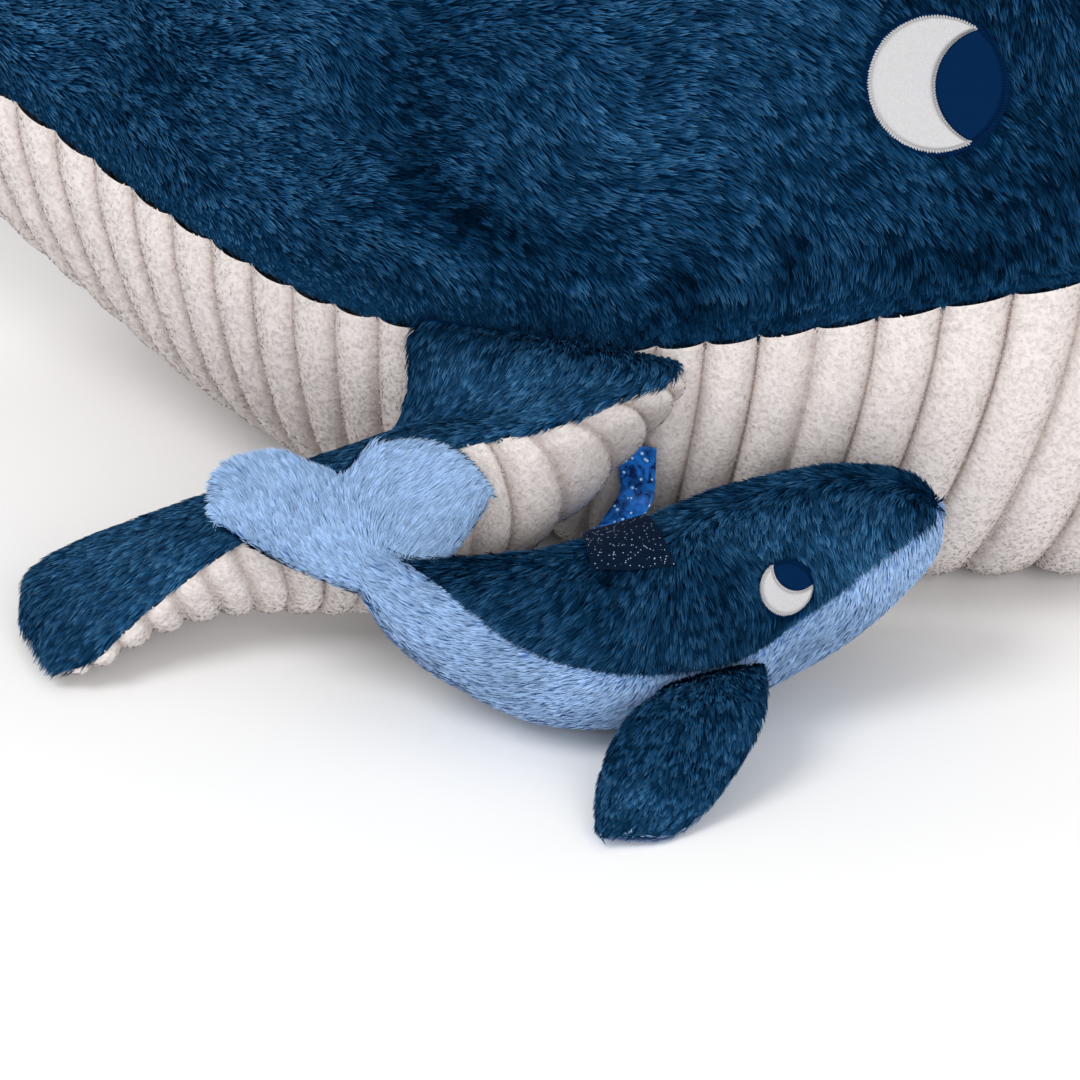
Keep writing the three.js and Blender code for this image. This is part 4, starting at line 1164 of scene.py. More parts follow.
def make_back(settings):
    """The navy back: one cloth, and its pile in four parts."""
    cloth = back_cloth()
    rng = np.random.default_rng(SEEDS["back"])
    nodes = ["body_back_panel", "tail_back_panel", "body_filling", "tail_filling"]
    plush_piece("whale_back", cloth_strands(cloth), "navy_plush", "body", nodes, TAIL_BLEND,
                PADDING["whale"])
    clear = off_eyes(WHALE_EYES)
    roots = roots_on(cloth, settings.back_count, rng)
    roots = pick(roots, clear(roots.points))
    pile = pile_of(settings, settings.length, settings.width)
    blades = strands(roots, back_lay(roots), rng, pile, back_shade, clear, seam_growth)
    feet = blades.points[::BLADE_CORNERS]
    middle = np.median(feet[:, 0])
    for side, lateral in (("right", feet[:, 1] < 0), ("left", feet[:, 1] >= 0)):
        for end, mask in (("front", feet[:, 0] > middle), ("rear", feet[:, 0] <= middle)):
            plush_piece(f"whale_pile_{side}_{end}", part_of(blades, lateral & mask),
                        "navy_plush", "body", blend=TAIL_BLEND)


# How light terry looks: on its crests, how much painted shade darkens its valleys and how sharply
CREST_TONE = 0.95
VALLEY_PAINTED_SHADE = 0.42
VALLEY_SHARPNESS = 1.7
# Pile of the limbs: its length and its swirl beside the back's, and how far it lies downward
LIMB_PILE = 0.9
LIMB_SWIRL = 0.6
LIMB_FALL = 0.25
# Pile of the flukes: how soon it parts from the middle, how far it lies outward and rearward
FLUKE_PARTING = 12.0
SMALL_FLUKE_PARTING = 6.0
FLUKE_OUTWARD = 0.8
FLUKE_REARWARD = 0.7
# Pile of the small whale: how far it lies rearward on its back and belly, how far outward on
# its belly and how sharply it parts at the keel
SMALL_BACK_REARWARD = 0.75
SMALL_BELLY_REARWARD = 0.8
SMALL_BELLY_OUTWARD = 0.5
KEEL_SHARPNESS = 7
# How light the pile of flippers and of the light cloth is, and how much painted shade darkens
# a flipper's root where it meets the body
FLIPPER_LIGHT = 0.35
BLUE_LIGHT = 0.25
FLIPPER_ROOT_PAINTED_SHADE = 0.9
FLIPPER_ROOT_FADE = (0.02, 0.14)


def tone_with_valley_shade(ribs):
    """How light terry looks: painted shade darkens the narrow valleys between its ribs."""
    return CREST_TONE - VALLEY_PAINTED_SHADE * np.maximum(1 - ribs, 0) ** VALLEY_SHARPNESS


def make_belly(settings):
    """The cream ribbed belly from the tail to the chin."""
    step, across = BELLY_GRID
    # The cloth's tone paints shade into the valleys between the ribs
    cloth = cloth_on(body_section, whale_places(step), across, UNDER, belly_relief, rib_slip,
                     lambda place, share: tone_with_valley_shade(rib_relief(rib_phase(place), 1)), close=(0,))
    loops = nap(cloth, settings.nap_count, np.random.default_rng(SEEDS["belly"]), settings)
    plush_piece("whale_belly", cloth_strands(cloth), "cream_ribbed_plush", "body",
                ["body_belly_panel", "tail_belly_panel"], TAIL_BLEND, PADDING["whale"])
    plush_piece("whale_belly_loops", loops, "cream_ribbed_plush", "body", blend=TAIL_BLEND)


def flipper_shade(roots):
    """Light and dark areas of a flipper's pile: dark with painted shade where it meets the body."""
    root = 1 - ease(*FLIPPER_ROOT_FADE, roots.places)
    return FLIPPER_LIGHT + noise_sum(roots.points, FLIPPER_PATCHES) - FLIPPER_ROOT_PAINTED_SHADE * root


def soft_shade(roots):
    """Light and dark areas of the pile of a small piece."""
    return noise_sum(roots.points, SOFT_PATCHES)


def blue_shade(roots):
    """Deeper blue patches in the light pile."""
    return BLUE_LIGHT + noise_sum(roots.points, BLUE_PATCHES)


def down_flow(roots):
    """Pile that lies outward along a limb and a little down its sides."""
    return roots.ahead + LIMB_FALL * roots.around * down_side(roots)[:, None]


def ribbed_limb(name, section, counts, reliefs, ribs, flow, settings, rng, shade, grow, close):
    """A limb of the whale with navy pile over it and cream ribs under it."""
    over_places, under_places, over_across, under_across, blade_count, loop_count = counts
    over = cloth_on(section, over_places, over_across, OVER, reliefs[0], close=close)
    # The ribbed cloth's tone paints shade into the valleys between the ribs
    under = cloth_on(section, under_places, under_across, UNDER, reliefs[1],
                     tone=lambda place, share: tone_with_valley_shade(ribs(place)), close=close)
    roots = roots_on(over, blade_count, rng)
    pile = pile_of(settings, settings.length * LIMB_PILE, settings.width, LIMB_SWIRL)
    navy = furred(over, roots, flow(roots), rng, pile, shade, grow=grow)
    cream = joined([cloth_strands(under), nap(under, loop_count, rng, settings)])
    return ((f"{name}_back", navy, "navy_plush"), (f"{name}_ribs", cream, "cream_ribbed_plush"))


def make_flipper(hand, settings):
    """One flipper of the whale: navy above and cream ribs below."""
    body = f"flipper_{SIDES[hand]}"
    form = flipper_section(hand)

    def section(place):
        found = form(place)
        rise = FLIPPER_ROOT_RISE * np.exp(-(place / FLIPPER_RISE_REACH) ** 2)
        return found._replace(centre=found.centre + rise[..., None] * np.array([0, 0, 1.0]))
    steps = np.linspace(0, 1, 60)
    gaps = np.linalg.norm(np.diff(section(steps).centre, axis=0), axis=-1)
    reached = np.concatenate([[0], np.cumsum(gaps)])

    def ribs(place):
        phase = np.interp(place, steps, reached) / FLIPPER_RIB_PITCH
        return (rib_relief(phase, 1) * ease(*FLIPPER_RIB_START, place)
                * (1 - ease(*FLIPPER_RIB_END, place)))

    def top_relief(place, share, smooth):
        return -FLIPPER_INSET + noise_sum(smooth, FLIPPER_LUMPS) + pinch(share, *FLIPPER_PINCH)

    def under_relief(place, share, smooth):
        height, at, long, across, wide = FLIPPER_ROLL
        roll = height * np.exp(-((place - at) / long) ** 2 - ((share - across) / wide) ** 2)
        return (-RIBBED_INSET + FLIPPER_RIB_DEPTH * ribs(place) + roll * ease(0, 0.06, share)
                + pinch(share, *FLIPPER_RIB_PINCH))
    (over_rows, over_across), (under_rows, under_across) = FLIPPER_GRID, FLIPPER_RIB_GRID
    counts = (np.linspace(0, 1, over_rows), np.linspace(0, 1, under_rows), over_across,
              under_across, settings.flipper_count, settings.flipper_nap_count)
    parts = ribbed_limb(body, section, counts, (top_relief, under_relief), ribs,
                        down_flow, settings, np.random.default_rng(SEEDS["flipper"] + hand),
                        flipper_shade, seam_growth, (-1,))
    reach = hand * (body_section(np.array(0.0)).half + FIT_GAP)
    seam = ("body", (0, reach + hand * 16, FLIPPER_ROOT_Z), (0, reach - hand * 1, FLIPPER_ROOT_Z))
    nodes = ([f"{body}_top", f"{body}_filling"], [f"{body}_under"])
    for part, replaced in zip(parts, nodes):
        plush_piece(*part, body, replaced, seam, PADDING["flipper"])


def make_flukes(settings):
    """The flukes of the whale: navy above, cream ribs below, sewn over the crinkle film."""
    section = fluke_section(np.array(FLUKE_HINGE), *np.eye(3), FLUKE_SPAN, FLUKE_CHORD,
                            FLUKE_THICKNESS, FLUKE_SWEEP, FLUKE_NOTCH, FLUKE_DROOP)
    reach = FLUKE_SPAN / 2
    rows, across = FLUKE_GRID
    places = reach * np.sin(np.linspace(-math.pi / 2, math.pi / 2, rows))

    def ribs(place):
        end = ease(*FLUKE_RIB_END, np.abs(place) / reach)
        return rib_relief(place / RIB_PITCH, 1) * (1 - end)
    reliefs = (lambda place, share, smooth: -FLUKE_INSET + noise_sum(smooth, FLUKE_LUMPS),
               lambda place, share, smooth: -RIBBED_INSET + FLUKE_RIB_DEPTH * ribs(place))

    def flow(roots):
        outward = np.tanh(roots.places / FLUKE_PARTING)[:, None]
        return roots.ahead * outward * FLUKE_OUTWARD - np.array([1.0, 0, 0]) * FLUKE_REARWARD
    counts = (places, places, across, across, settings.fluke_count, settings.fluke_count * 2)
    parts = ribbed_limb("flukes", section, counts, reliefs, ribs, flow, settings,
                        np.random.default_rng(SEEDS["flukes"]), soft_shade, None, ())
    for part, node in zip(parts, ("flukes_top", "flukes_under")):
        plush_piece(*part, "flukes", [node], padded=PADDING["flukes"])


# Pieces of the small whale

SMALL_TAIL_BLEND = ("small_tail", tuple(small_centre(np.array(SMALL_JOINT + 0.07))),
                    tuple(small_centre(np.array(SMALL_JOINT - 0.06))))


def small_relief(place, share, smooth):
    """The small whale's cloth, a little lumpy and drawn in at the seams."""
    return -SMALL_INSET + noise_sum(smooth, SMALL_LUMPS) + pinch(share, *SMALL_PINCH)


def small_cloth(turn, close=()):
    """The small whale's cloth over or under it, finer at both ends."""
    rows, across = SMALL_GRID
    places = 0.5 - 0.4999 * np.cos(np.linspace(0, math.pi, rows))
    return cloth_on(small_section, places, across, turn, small_relief, close=close)


def make_small_body(settings):
    """Back and belly of the small whale with its tail stock."""
    rng = np.random.default_rng(SEEDS["small_body"])
    clear = off_eyes(SMALL_EYES)
    back, belly = small_cloth(OVER, (0, -1)), small_cloth(UNDER, (0, -1))
    roots = roots_on(back, settings.small_count, rng)
    roots = pick(roots, clear(roots.points))
    flow = -SMALL_BACK_REARWARD * roots.ahead + roots.around * down_side(roots)[:, None]
    pile = pile_of(settings, settings.small_length, settings.small_width)
    made = furred(back, roots, flow, rng, pile, soft_shade, clear, seam_growth)
    plush_piece("small_back", made, "navy_plush", "small_whale",
                ["small_back_panel", "small_tail_back", "small_filling", "small_tail_filling"],
                SMALL_TAIL_BLEND, PADDING["small_whale"])
    roots = roots_on(belly, settings.small_count, rng)
    keel = np.tanh((0.5 - roots.shares) * KEEL_SHARPNESS)[:, None]
    flow = -SMALL_BELLY_REARWARD * roots.ahead + SMALL_BELLY_OUTWARD * roots.around * keel
    pile = pile_of(settings, settings.blue_length, settings.small_width)
    made = furred(belly, roots, flow, rng, pile, blue_shade, clear, seam_growth)
    plush_piece("small_belly", made, "light_blue_plush", "small_whale",
                ["small_belly_panel", "small_tail_belly"], SMALL_TAIL_BLEND,
                PADDING["small_whale"])


def small_limb(section, places, across, relief, close, count, flow, rng, pile):
    """The navy face and the light blue face of a limb of the small whale, with their slots."""
    faces = ((OVER, "navy_plush", soft_shade), (UNDER, "light_blue_plush", blue_shade))
    for turn, slot, shade in faces:
        cloth = cloth_on(section, places, across, turn, relief, close=close)
        roots = roots_on(cloth, count, rng)
        yield furred(cloth, roots, flow(roots), rng, pile, shade), slot


def make_small_flukes(settings):
    """The small flukes: navy behind and light blue in front."""
    lay, span = unit(np.array(SMALL_FLUKE_LAY)), unit(np.array(SMALL_FLUKE_ACROSS))
    up = unit(np.cross(lay, span))
    hinge = small_centre(np.array(0.0)) - lay * SMALL_FLUKE_INSET - up * SMALL_FLUKE_STAND_OFF
    section = fluke_section(hinge, -lay, span, up, SMALL_FLUKE_SPAN, SMALL_FLUKE_CHORD,
                            SMALL_FLUKE_THICKNESS, SMALL_FLUKE_SWEEP, SMALL_FLUKE_NOTCH, 0.0)
    rows, across = SMALL_FLUKE_GRID
    places = SMALL_FLUKE_SPAN / 2 * np.sin(np.linspace(-math.pi / 2, math.pi / 2, rows))
    parting = SMALL_FLUKE_PARTING
    faces = small_limb(
        section, places, across,
        lambda place, share, smooth: -SMALL_FLUKE_DEPTH + noise_sum(smooth, SMALL_FLUKE_LUMPS), (),
        settings.small_fluke_count,
        lambda roots: roots.ahead * np.tanh(roots.places / parting)[:, None] + lay * FLUKE_REARWARD,
        np.random.default_rng(SEEDS["small_flukes"]),
        pile_of(settings, settings.blue_length, settings.small_width))
    for (made, slot), name, node in zip(faces, ("back", "front"), ("back", "under")):
        plush_piece(f"small_flukes_{name}_plush", made, slot, "small_tail",
                    [f"small_flukes_{node}"], padded=PADDING["flukes"])


def make_small_fin(hand, settings):
    """One fin of the small whale, navy above and light blue below."""
    body = f"small_fin_{SIDES[hand]}"
    middle = sum(fin_root(place, hand) for place in FIN_PLACES) / 2
    outward = unit(np.array([0.0, hand, -0.3]))
    seam = ("small_whale", tuple(middle + outward * 9), tuple(middle - outward * 1))
    rows, across = FIN_GRID
    faces = small_limb(
        fin_section(NEAR_FIN_PROFILE if hand < 0 else FAR_FIN_PROFILE, hand),
        np.linspace(0, 1, rows), across,
        lambda place, share, smooth: np.full(place.shape, -FIN_DEPTH), (-1,),
        settings.fin_count, down_flow, np.random.default_rng(SEEDS["fin"] + hand),
        pile_of(settings, settings.fin_length, settings.small_width, LIMB_SWIRL))
    for (made, slot), name in zip(faces, ("top", "under")):
        plush_piece(f"{body}_{name}_plush", made, slot, body, [f"{body}_{name}"], seam,
                    PADDING["fin"])


# Eyes

# The edge that dark and white share, and where the stitches run, as shares of the radius
EYE_BITE_REACH = 0.845
EYE_BITE = 0.89
EDGE_STITCH = 0.985
RIM_STITCH = 1.045
# Five places along a stitch, each with how full the thread is there
STITCH_SHAPE = ((-1, 0.3), (-0.6, 0.9), (0, 1.0), (0.6, 0.9), (1, 0.3))
STITCH_SLANT = 0.25
# Chance in a stitch's length, how deep it stands in the felt and how fine the outer ones are
STITCH_RANGE = (0.85, 1.1)
STITCH_SINK = 0.1
FINE_STITCH = 0.8
# How deep the felt stands in the pile, how wide its edge is and how far off rays start, in mm
FELT_SINK = 0.6
FELT_EDGE = 0.9
RAY_START = 25


def two_arcs(radius):
    """Edges of the white crescent and of the dark disc, as pairs of arcs in eye axes."""
    reach, bite = EYE_BITE_REACH * radius, EYE_BITE * radius
    cross_x = (radius**2 - bite**2 + reach**2) / (2 * reach)
    cross_y = math.sqrt(radius**2 - cross_x**2)
    outer = math.atan2(cross_y, cross_x)
    inner = math.atan2(cross_y, cross_x - reach)

    def arc(centre, size, start, end):
        def points(share):
            turn = start + (end - start) * share
            return np.stack([(centre + size * np.cos(turn)), size * np.sin(turn)], -1)
        return points
    edge = arc(reach, bite, inner, 2 * math.pi - inner)
    return (arc(0, radius, outer, 2 * math.pi - outer), edge), (arc(0, radius, outer, -outer), edge)


def felt_patch(arcs, place_on, thickness):
    """A domed felt patch between two arcs."""
    share = np.linspace(0.004, 0.996, 90)
    across = np.linspace(0, 1, 22)
    first, second = arcs[0](share), arcs[1](share)
    flat = first[:, None] * (1 - across[None, :, None]) + second[:, None] * across[None, :, None]
    width = np.linalg.norm(first - second, axis=-1)[:, None]
    edge = np.minimum(across, 1 - across)[None] * width
    height = thickness * np.minimum(1, (edge / FELT_EDGE)) ** 0.5
    return plain_grid(place_on(flat, height - FELT_SINK))


def stitches_on(outline, place_on, stitch, rng):
    """Satin stitches side by side along an outline."""
    gaps = np.linalg.norm(np.diff(outline, axis=0), axis=-1)
    total = np.concatenate([[0], np.cumsum(gaps)])
    at = np.arange(0, total[-1], stitch.step)
    centre = np.stack([np.interp(at, total, outline[:, k]) for k in (0, 1)], -1)
    ahead = unit(np.gradient(centre, axis=0))
    out = unit(np.stack([ahead[:, 1], -ahead[:, 0]], -1) + ahead * STITCH_SLANT)
    ring = np.linspace(0, math.pi, 5)
    half = (np.cos(ring) * stitch.wide / 2)[:, None]
    parts = []
    for k in range(len(at)):
        reach = stitch.long * rng.uniform(*STITCH_RANGE)
        rows = []
        for s, full in STITCH_SHAPE:
            flat = centre[k] + out[k] * s * reach / 2 + ahead[k] * half * full
            rows.append(place_on(flat, stitch.high * full * np.sin(ring) - STITCH_SINK))
        parts.append(plain_grid(np.array(rows), rng.random()))
    return joined(parts)


def eye_placer(eyes, hand, cloth):
    """A function that lays flat eye points on a cloth, with a height over it."""
    form = eyes.section(np.array(eyes.place))

    def spot(forward, turn):
        section = eyes.section(np.array(eyes.place + forward))
        return form_point(section, np.array(eye_angle(eyes, hand) + turn))
    centre = spot(0, 0)
    ahead = unit(spot(eyes.step, 0) - spot(-eyes.step, 0))
    out = unit(np.cross(ahead, spot(0, 0.04) - spot(0, -0.04)))
    over = np.cross(out, ahead)
    if np.dot(out, centre - form.centre) < 0:
        out = -out
    if np.dot(over, form.up) < 0:
        over = -over
    tilt = math.radians(eyes.tilts[hand])
    cos, sin = math.cos(tilt), math.sin(tilt)
    faces = cloth_strands(cloth)
    tree = BVHTree.FromPolygons(faces.points.tolist(), faces.faces.tolist())

    def place(flat, height):
        shape = flat.shape[:-1]
        uv = flat.reshape(-1, 2) @ np.array([[cos, sin], [-sin, cos]])
        lifted = np.broadcast_to(height, shape).ravel()
        start = centre + uv[:, :1] * ahead + uv[:, 1:] * over + out * RAY_START
        points = np.empty((len(uv), 3))
        for k, origin in enumerate(start):
            hit = tree.ray_cast(Vector(origin), Vector(-out))[0]
            if hit is None:
                raise RuntimeError("an eye point misses the cloth")
            points[k] = np.array(hit) + out * lifted[k]
        return points.reshape(*shape, 3)
    return place


def make_eye(eyes, hand, cloth):
    """One embroidered felt eye: a white crescent and a dark disc with stitched edges."""
    side = SIDES[hand]
    place_on = eye_placer(eyes, hand, cloth)
    colours = bpy.context.scene.plush_colours
    white, dark = two_arcs(eyes.radius)
    share = np.linspace(0, 1, 160)
    rim = np.stack([np.cos(share * 2 * math.pi), np.sin(share * 2 * math.pi)], -1)
    rng = np.random.default_rng(SEEDS["eye"])
    edges = (np.concatenate([white[0](share), white[1](share)[::-1]]), dark[0](share))
    threads = [stitches_on(edge * EDGE_STITCH, place_on, eyes.stitch, rng) for edge in edges]
    fine = eyes.stitch._replace(long=eyes.stitch.long * FINE_STITCH,
                                high=eyes.stitch.high * FINE_STITCH)
    around = stitches_on(RIM_STITCH * eyes.radius * rim, place_on, fine, rng)
    threads[1] = joined([threads[1], around])
    patches = [felt_patch(arcs, place_on, eyes.thickness) for arcs in (white, dark)]
    for kind, parts in (("felt", patches), ("stitches", threads)):
        for colour, made in zip(("white", "dark"), parts):
            felt = grained_material(f"{colour.title()} Felt", getattr(colours, f"felt_{colour}"),
                                    FELT)
            nodes = [f"{eyes.prefix}eye_{colour}_{side}"] if kind == "felt" else ()
            piece = piece_from(f"eye_{colour}_{eyes.prefix}{side}_{kind}", made, felt)
            dress(piece, f"{colour}_felt", eyes.body, nodes)


# Ribbon

def centripetal(points, count):
    """A smooth curve through points, at even steps along its length."""
    points = np.asarray(points, float)
    ends = np.concatenate([[2 * points[0] - points[1]], points, [2 * points[-1] - points[-2]]])
    dense = []
    for k in range(len(points) - 1):
        p0, p1, p2, p3 = ends[k:k + 4]
        knots = np.concatenate([[0], np.cumsum([
            np.linalg.norm(b - a) ** 0.5 for a, b in ((p0, p1), (p1, p2), (p2, p3))])])
        t = np.linspace(knots[1], knots[2], 24, endpoint=k == len(points) - 2)[:, None]

        def between(a, b, low, high):
            return (high - t) / (high - low) * a + (t - low) / (high - low) * b
        a1 = between(p0, p1, knots[0], knots[1])
        a2 = between(p1, p2, knots[1], knots[2])
        a3 = between(p2, p3, knots[2], knots[3])
        b1 = between(a1, a2, knots[0], knots[2])
        b2 = between(a2, a3, knots[1], knots[3])
        dense.append(between(b1, b2, knots[1], knots[2]))
    dense = np.concatenate(dense)
    total = np.concatenate([[0], np.cumsum(np.linalg.norm(np.diff(dense, axis=0), axis=-1))])
    at = np.linspace(0, total[-1], count)
    return np.stack([np.interp(at, total, dense[:, k]) for k in range(3)], -1), total[-1]


# How high over the flipper the ribbon starts and its step from there, then its way down beside
# the flipper, all in mm, and its angles and heights over the small back
RIBBON_ROOT_LIFT = 2.4
RIBBON_ROOT_STEP = (1.5, -0.9, -1)
RIBBON_FALL = ((0, 0, 0), (0, -0.5, -7), (0, -2.5, -15))
RIBBON_OVER_BACK = ((160, 6), (146, 2.8), (134, 1.5), (124, 1.5))


def ribbon_line():
    """The ribbon's middle line, from the flipper's front down and up over the small back."""
    root = flipper_section(-1)(np.array(RIBBON_ROOT_PLACE))
    angle = np.array(math.radians(RIBBON_ROOT_ANGLE))
    top = form_point(root, angle, RIBBON_ROOT_LIFT) + RIBBON_ROOT_STEP
    section = small_section(np.array(RIBBON_PLACE))
    return centripetal([top + step for step in RIBBON_FALL] + [
        form_point(section, np.array(math.radians(angle)), height)
        for angle, height in RIBBON_OVER_BACK], 90)


# Satin: its dots, streaks and weave by scale, the size of a dot and how streaks set in
SATIN_DOTS = 420.0
SATIN_DOT_SIZE = 0.2
SATIN_DOT_COLOUR = (0.45, 0.72, 1.0, 1)
SATIN_STREAKS = 260.0
SATIN_STREAK_START = 0.36
SATIN_STREAK_GAIN = 3.5
SATIN_WEAVE = 900.0
# Glitter: its flecks and cloth by scale, how few flecks there are and how large; the flecks are
# the glitter itself, their sparkle a painted glint in their colour
GLITTER_FLECKS = 2100.0
GLITTER_FEWNESS = 0.88
GLITTER_SIZE = 0.33
GLITTER_GLINT_COLOUR = (0.5, 0.62, 0.85, 1)
GLITTER_WEAVE = 1800.0


def satin_material():
    """Bright blue satin with fine streaks and scattered dots."""
    colours = bpy.context.scene.plush_colours
    material, tree, shader = new_material("Printed Satin", 0.42, 0.0, 0.3)
    place = add_node(tree, "ShaderNodeTexCoord").outputs["Object"]
    dots = add_node(tree, "ShaderNodeTexVoronoi", {"Vector": place, "Scale": SATIN_DOTS})
    spot = math_node(tree, "LESS_THAN", dots.outputs["Distance"], SATIN_DOT_SIZE)
    streak = noise_node(tree, SATIN_STREAKS, 5.0, Distortion=1.5)
    stark = math_node(tree, "MULTIPLY",
                      math_node(tree, "SUBTRACT", streak, SATIN_STREAK_START), SATIN_STREAK_GAIN)
    deep = mix_colour(tree, stark, (*colours.ribbon_deep, 1), (*colours.ribbon_bright, 1))
    tree.links.new(mix_colour(tree, spot, deep, SATIN_DOT_COLOUR), shader.inputs["Base Color"])
    weave = add_node(tree, "ShaderNodeTexWave", {"Vector": place, "Scale": SATIN_WEAVE})
    bump_from(tree, shader, weave.outputs["Fac"], 0.25, 0.0002)
    return material


def glitter_material():
    """Dark woven cloth with fine bright flecks, the glitter, whose sparkle is a painted glint."""
    material, tree, shader = new_material("Glitter Cloth", 0.7, 0.0, 0.05)
    place = add_node(tree, "ShaderNodeTexCoord").outputs["Object"]
    flecks = add_node(tree, "ShaderNodeTexVoronoi", {"Vector": place, "Scale": GLITTER_FLECKS})
    chance = add_node(tree, "ShaderNodeSeparateColor", {"Color": flecks.outputs["Color"]})
    chosen = math_node(tree, "GREATER_THAN", chance.outputs["Red"], GLITTER_FEWNESS)
    small = math_node(tree, "LESS_THAN", flecks.outputs["Distance"], GLITTER_SIZE)
    fleck = math_node(tree, "MULTIPLY", chosen, small)
    dark = (*bpy.context.scene.plush_colours.glitter_dark, 1)
    tree.links.new(mix_colour(tree, fleck, dark, GLITTER_GLINT_COLOUR), shader.inputs["Base Color"])
    bump_from(tree, shader, noise_node(tree, GLITTER_WEAVE, 2.0), 0.8, 0.0003)
    return material


def make_ribbon():
    """The satin ribbon, a thin strip with curled edges."""
    line, length = ribbon_line()
    ahead = unit(np.gradient(line, axis=0))
    section = small_section(np.array(RIBBON_PLACE))
    wide = -np.cross(section.up, section.side)
    share = np.linspace(0, 1, len(line))[:, None]
    across = unit(np.array([1.0, 0, 0]) * (1 - share) + wide * share)
    across = unit(across - ahead * np.sum(across * ahead, -1, keepdims=True))
    out = np.cross(across, ahead)
    u = np.linspace(-1, 1, 13)[None, :, None]
    sheet = (line[:, None] + across[:, None] * (u * RIBBON_WIDTH / 2)
             - out[:, None] * (RIBBON_CURL * u**2))
    ribbon = piece_from("satin_ribbon", plain_grid(sheet), satin_material())
    thick = ribbon.modifiers.new("thickness", "SOLIDIFY")
    thick.thickness = RIBBON_THICKNESS * MM
    thick.offset = 0.0
    dress(ribbon, "satin_ribbon", "ribbon", ["ribbon"])


def make_patch():
    """The dark glitter patch sewn over the small back under the ribbon's end."""
    rows, across = PATCH_GRID
    places = np.linspace(RIBBON_PLACE - PATCH_PLACES, RIBBON_PLACE + PATCH_PLACES, rows)
    turn = (math.radians(90 + PATCH_ANGLE), math.radians(90 - PATCH_ANGLE))
    cloth = cloth_on(small_section, places, across, turn,
                     lambda place, share, smooth: PATCH_LIFT + noise_sum(smooth, PATCH_LUMPS))
    patch = piece_from("glitter_patch", cloth_strands(cloth), glitter_material())
    dress(patch, "glitter_fabric", "small_whale", ["ribbon_patch"])


# Hidden inner pieces

RATTLE_COLOUR = (0.8, 0.8, 0.78)
FILM_COLOUR = (0.62, 0.67, 0.7)


def finish_inner_pieces():
    """Gives the rattle and the crinkle film their finishes."""
    rattle = grained_material("Rattle Plastic", RATTLE_COLOUR, RATTLE)
    film = grained_material("Crinkle Film", FILM_COLOUR, FILM)
    names = ("rattle_cup", "rattle_lid", "rattle_ball_1", "rattle_ball_2", "rattle_ball_3")
    finishes = dict.fromkeys(names, rattle) | {"crinkle_film": film}
    for name, material in finishes.items():
        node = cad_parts[name]
        if node.material_slots:
            node.material_slots[0].material = material
        else:
            node.data.materials.append(material)


# Stage

CAMERA_TARGET = (0.0028, -0.141, 0.0372)
LAMP_TARGET = (0, 0, 0.08)
FLOOR_HALF = 8.0
# Name, place and size of each lamp
LAMPS = (
    ("key", (-0.9, -1.3, 2.0), 1.3),
    ("front", (1.2, -1.8, 0.9), 1.5),
    ("rear", (0.2, 1.6, 1.6), 1.2),
)


def put_in_scene(name, data, place, toward):
    """A new object at a place that looks along a direction."""
    made = bpy.data.objects.new(name, data)
    made.location = place
    made.rotation_euler = Vector(toward).to_track_quat("-Z", "Y").to_euler()
    bpy.context.scene.collection.objects.link(made)
    return made


def make_camera(settings):
    """The camera, turned and raised around its target."""
    turn, rise = settings.azimuth, settings.elevation
    offset = Vector((math.sin(turn) * math.cos(rise), -math.cos(turn) * math.cos(rise),
                     math.sin(rise)))
    lens = bpy.data.cameras.new("camera")
    lens.lens = settings.lens
    lens.sensor_width = 36.0
    lens.clip_end = 50.0
    bpy.context.scene.camera = put_in_scene(
        "camera", lens, Vector(CAMERA_TARGET) + offset * settings.distance, -offset)


def make_floor(settings):
    """The wide pale floor."""
    mesh = bpy.data.meshes.new("floor")
    corners = [(x * FLOOR_HALF, y * FLOOR_HALF, 0) for x, y in ((-1, -1), (1, -1), (1, 1), (-1, 1))]
    mesh.from_pydata(corners, [], [(0, 1, 2, 3)])
    material, _, shader = new_material("floor", 0.9, 0.0, 0.1)
    shader.inputs["Base Color"].default_value = (*settings.floor_colour, 1)
    mesh.materials.append(material)
    floor = bpy.data.objects.new("floor", mesh)
    bpy.context.scene.collection.objects.link(floor)


def make_world(settings):
    """Even light from all around that looks white to the camera and in mirrors."""
    world = bpy.data.worlds.new("studio")
    world.use_nodes = True
    bpy.context.scene.world = world
    tree = world.node_tree
    rays = add_node(tree, "ShaderNodeLightPath").outputs
    mirrors = math_node(tree, "ADD", rays["Is Glossy Ray"], rays["Is Transmission Ray"])
    seen = math_node(tree, "MINIMUM",
                     math_node(tree, "ADD", rays["Is Camera Ray"], mirrors), 1.0)
    more = math_node(tree, "MULTIPLY", seen, 1.0 - settings.fill)
    back = tree.nodes["Background"].inputs
    back["Color"].default_value = (1, 1, 1, 1)
    tree.links.new(math_node(tree, "ADD", more, settings.fill), back["Strength"])


def make_stage(settings):
    """The camera, the pale floor, the even light and the soft lamps."""
    bpy.context.scene.view_settings.view_transform = "Standard"
    make_camera(settings)
    make_floor(settings)
    make_world(settings)
    for name, place, size in LAMPS:
        lamp = bpy.data.lights.new(name, "AREA")
        lamp.shape = "DISK"
        lamp.size = size
        lamp.energy = getattr(settings, f"{name}_power")
        put_in_scene(name, lamp, place, Vector(LAMP_TARGET) - Vector(place))


# Settings

def colour_property(name, description, default):
    """A colour that a user may change."""
    return FloatVectorProperty(name=name, description=description, default=default,
                               subtype="COLOR", size=3, min=0, max=1)


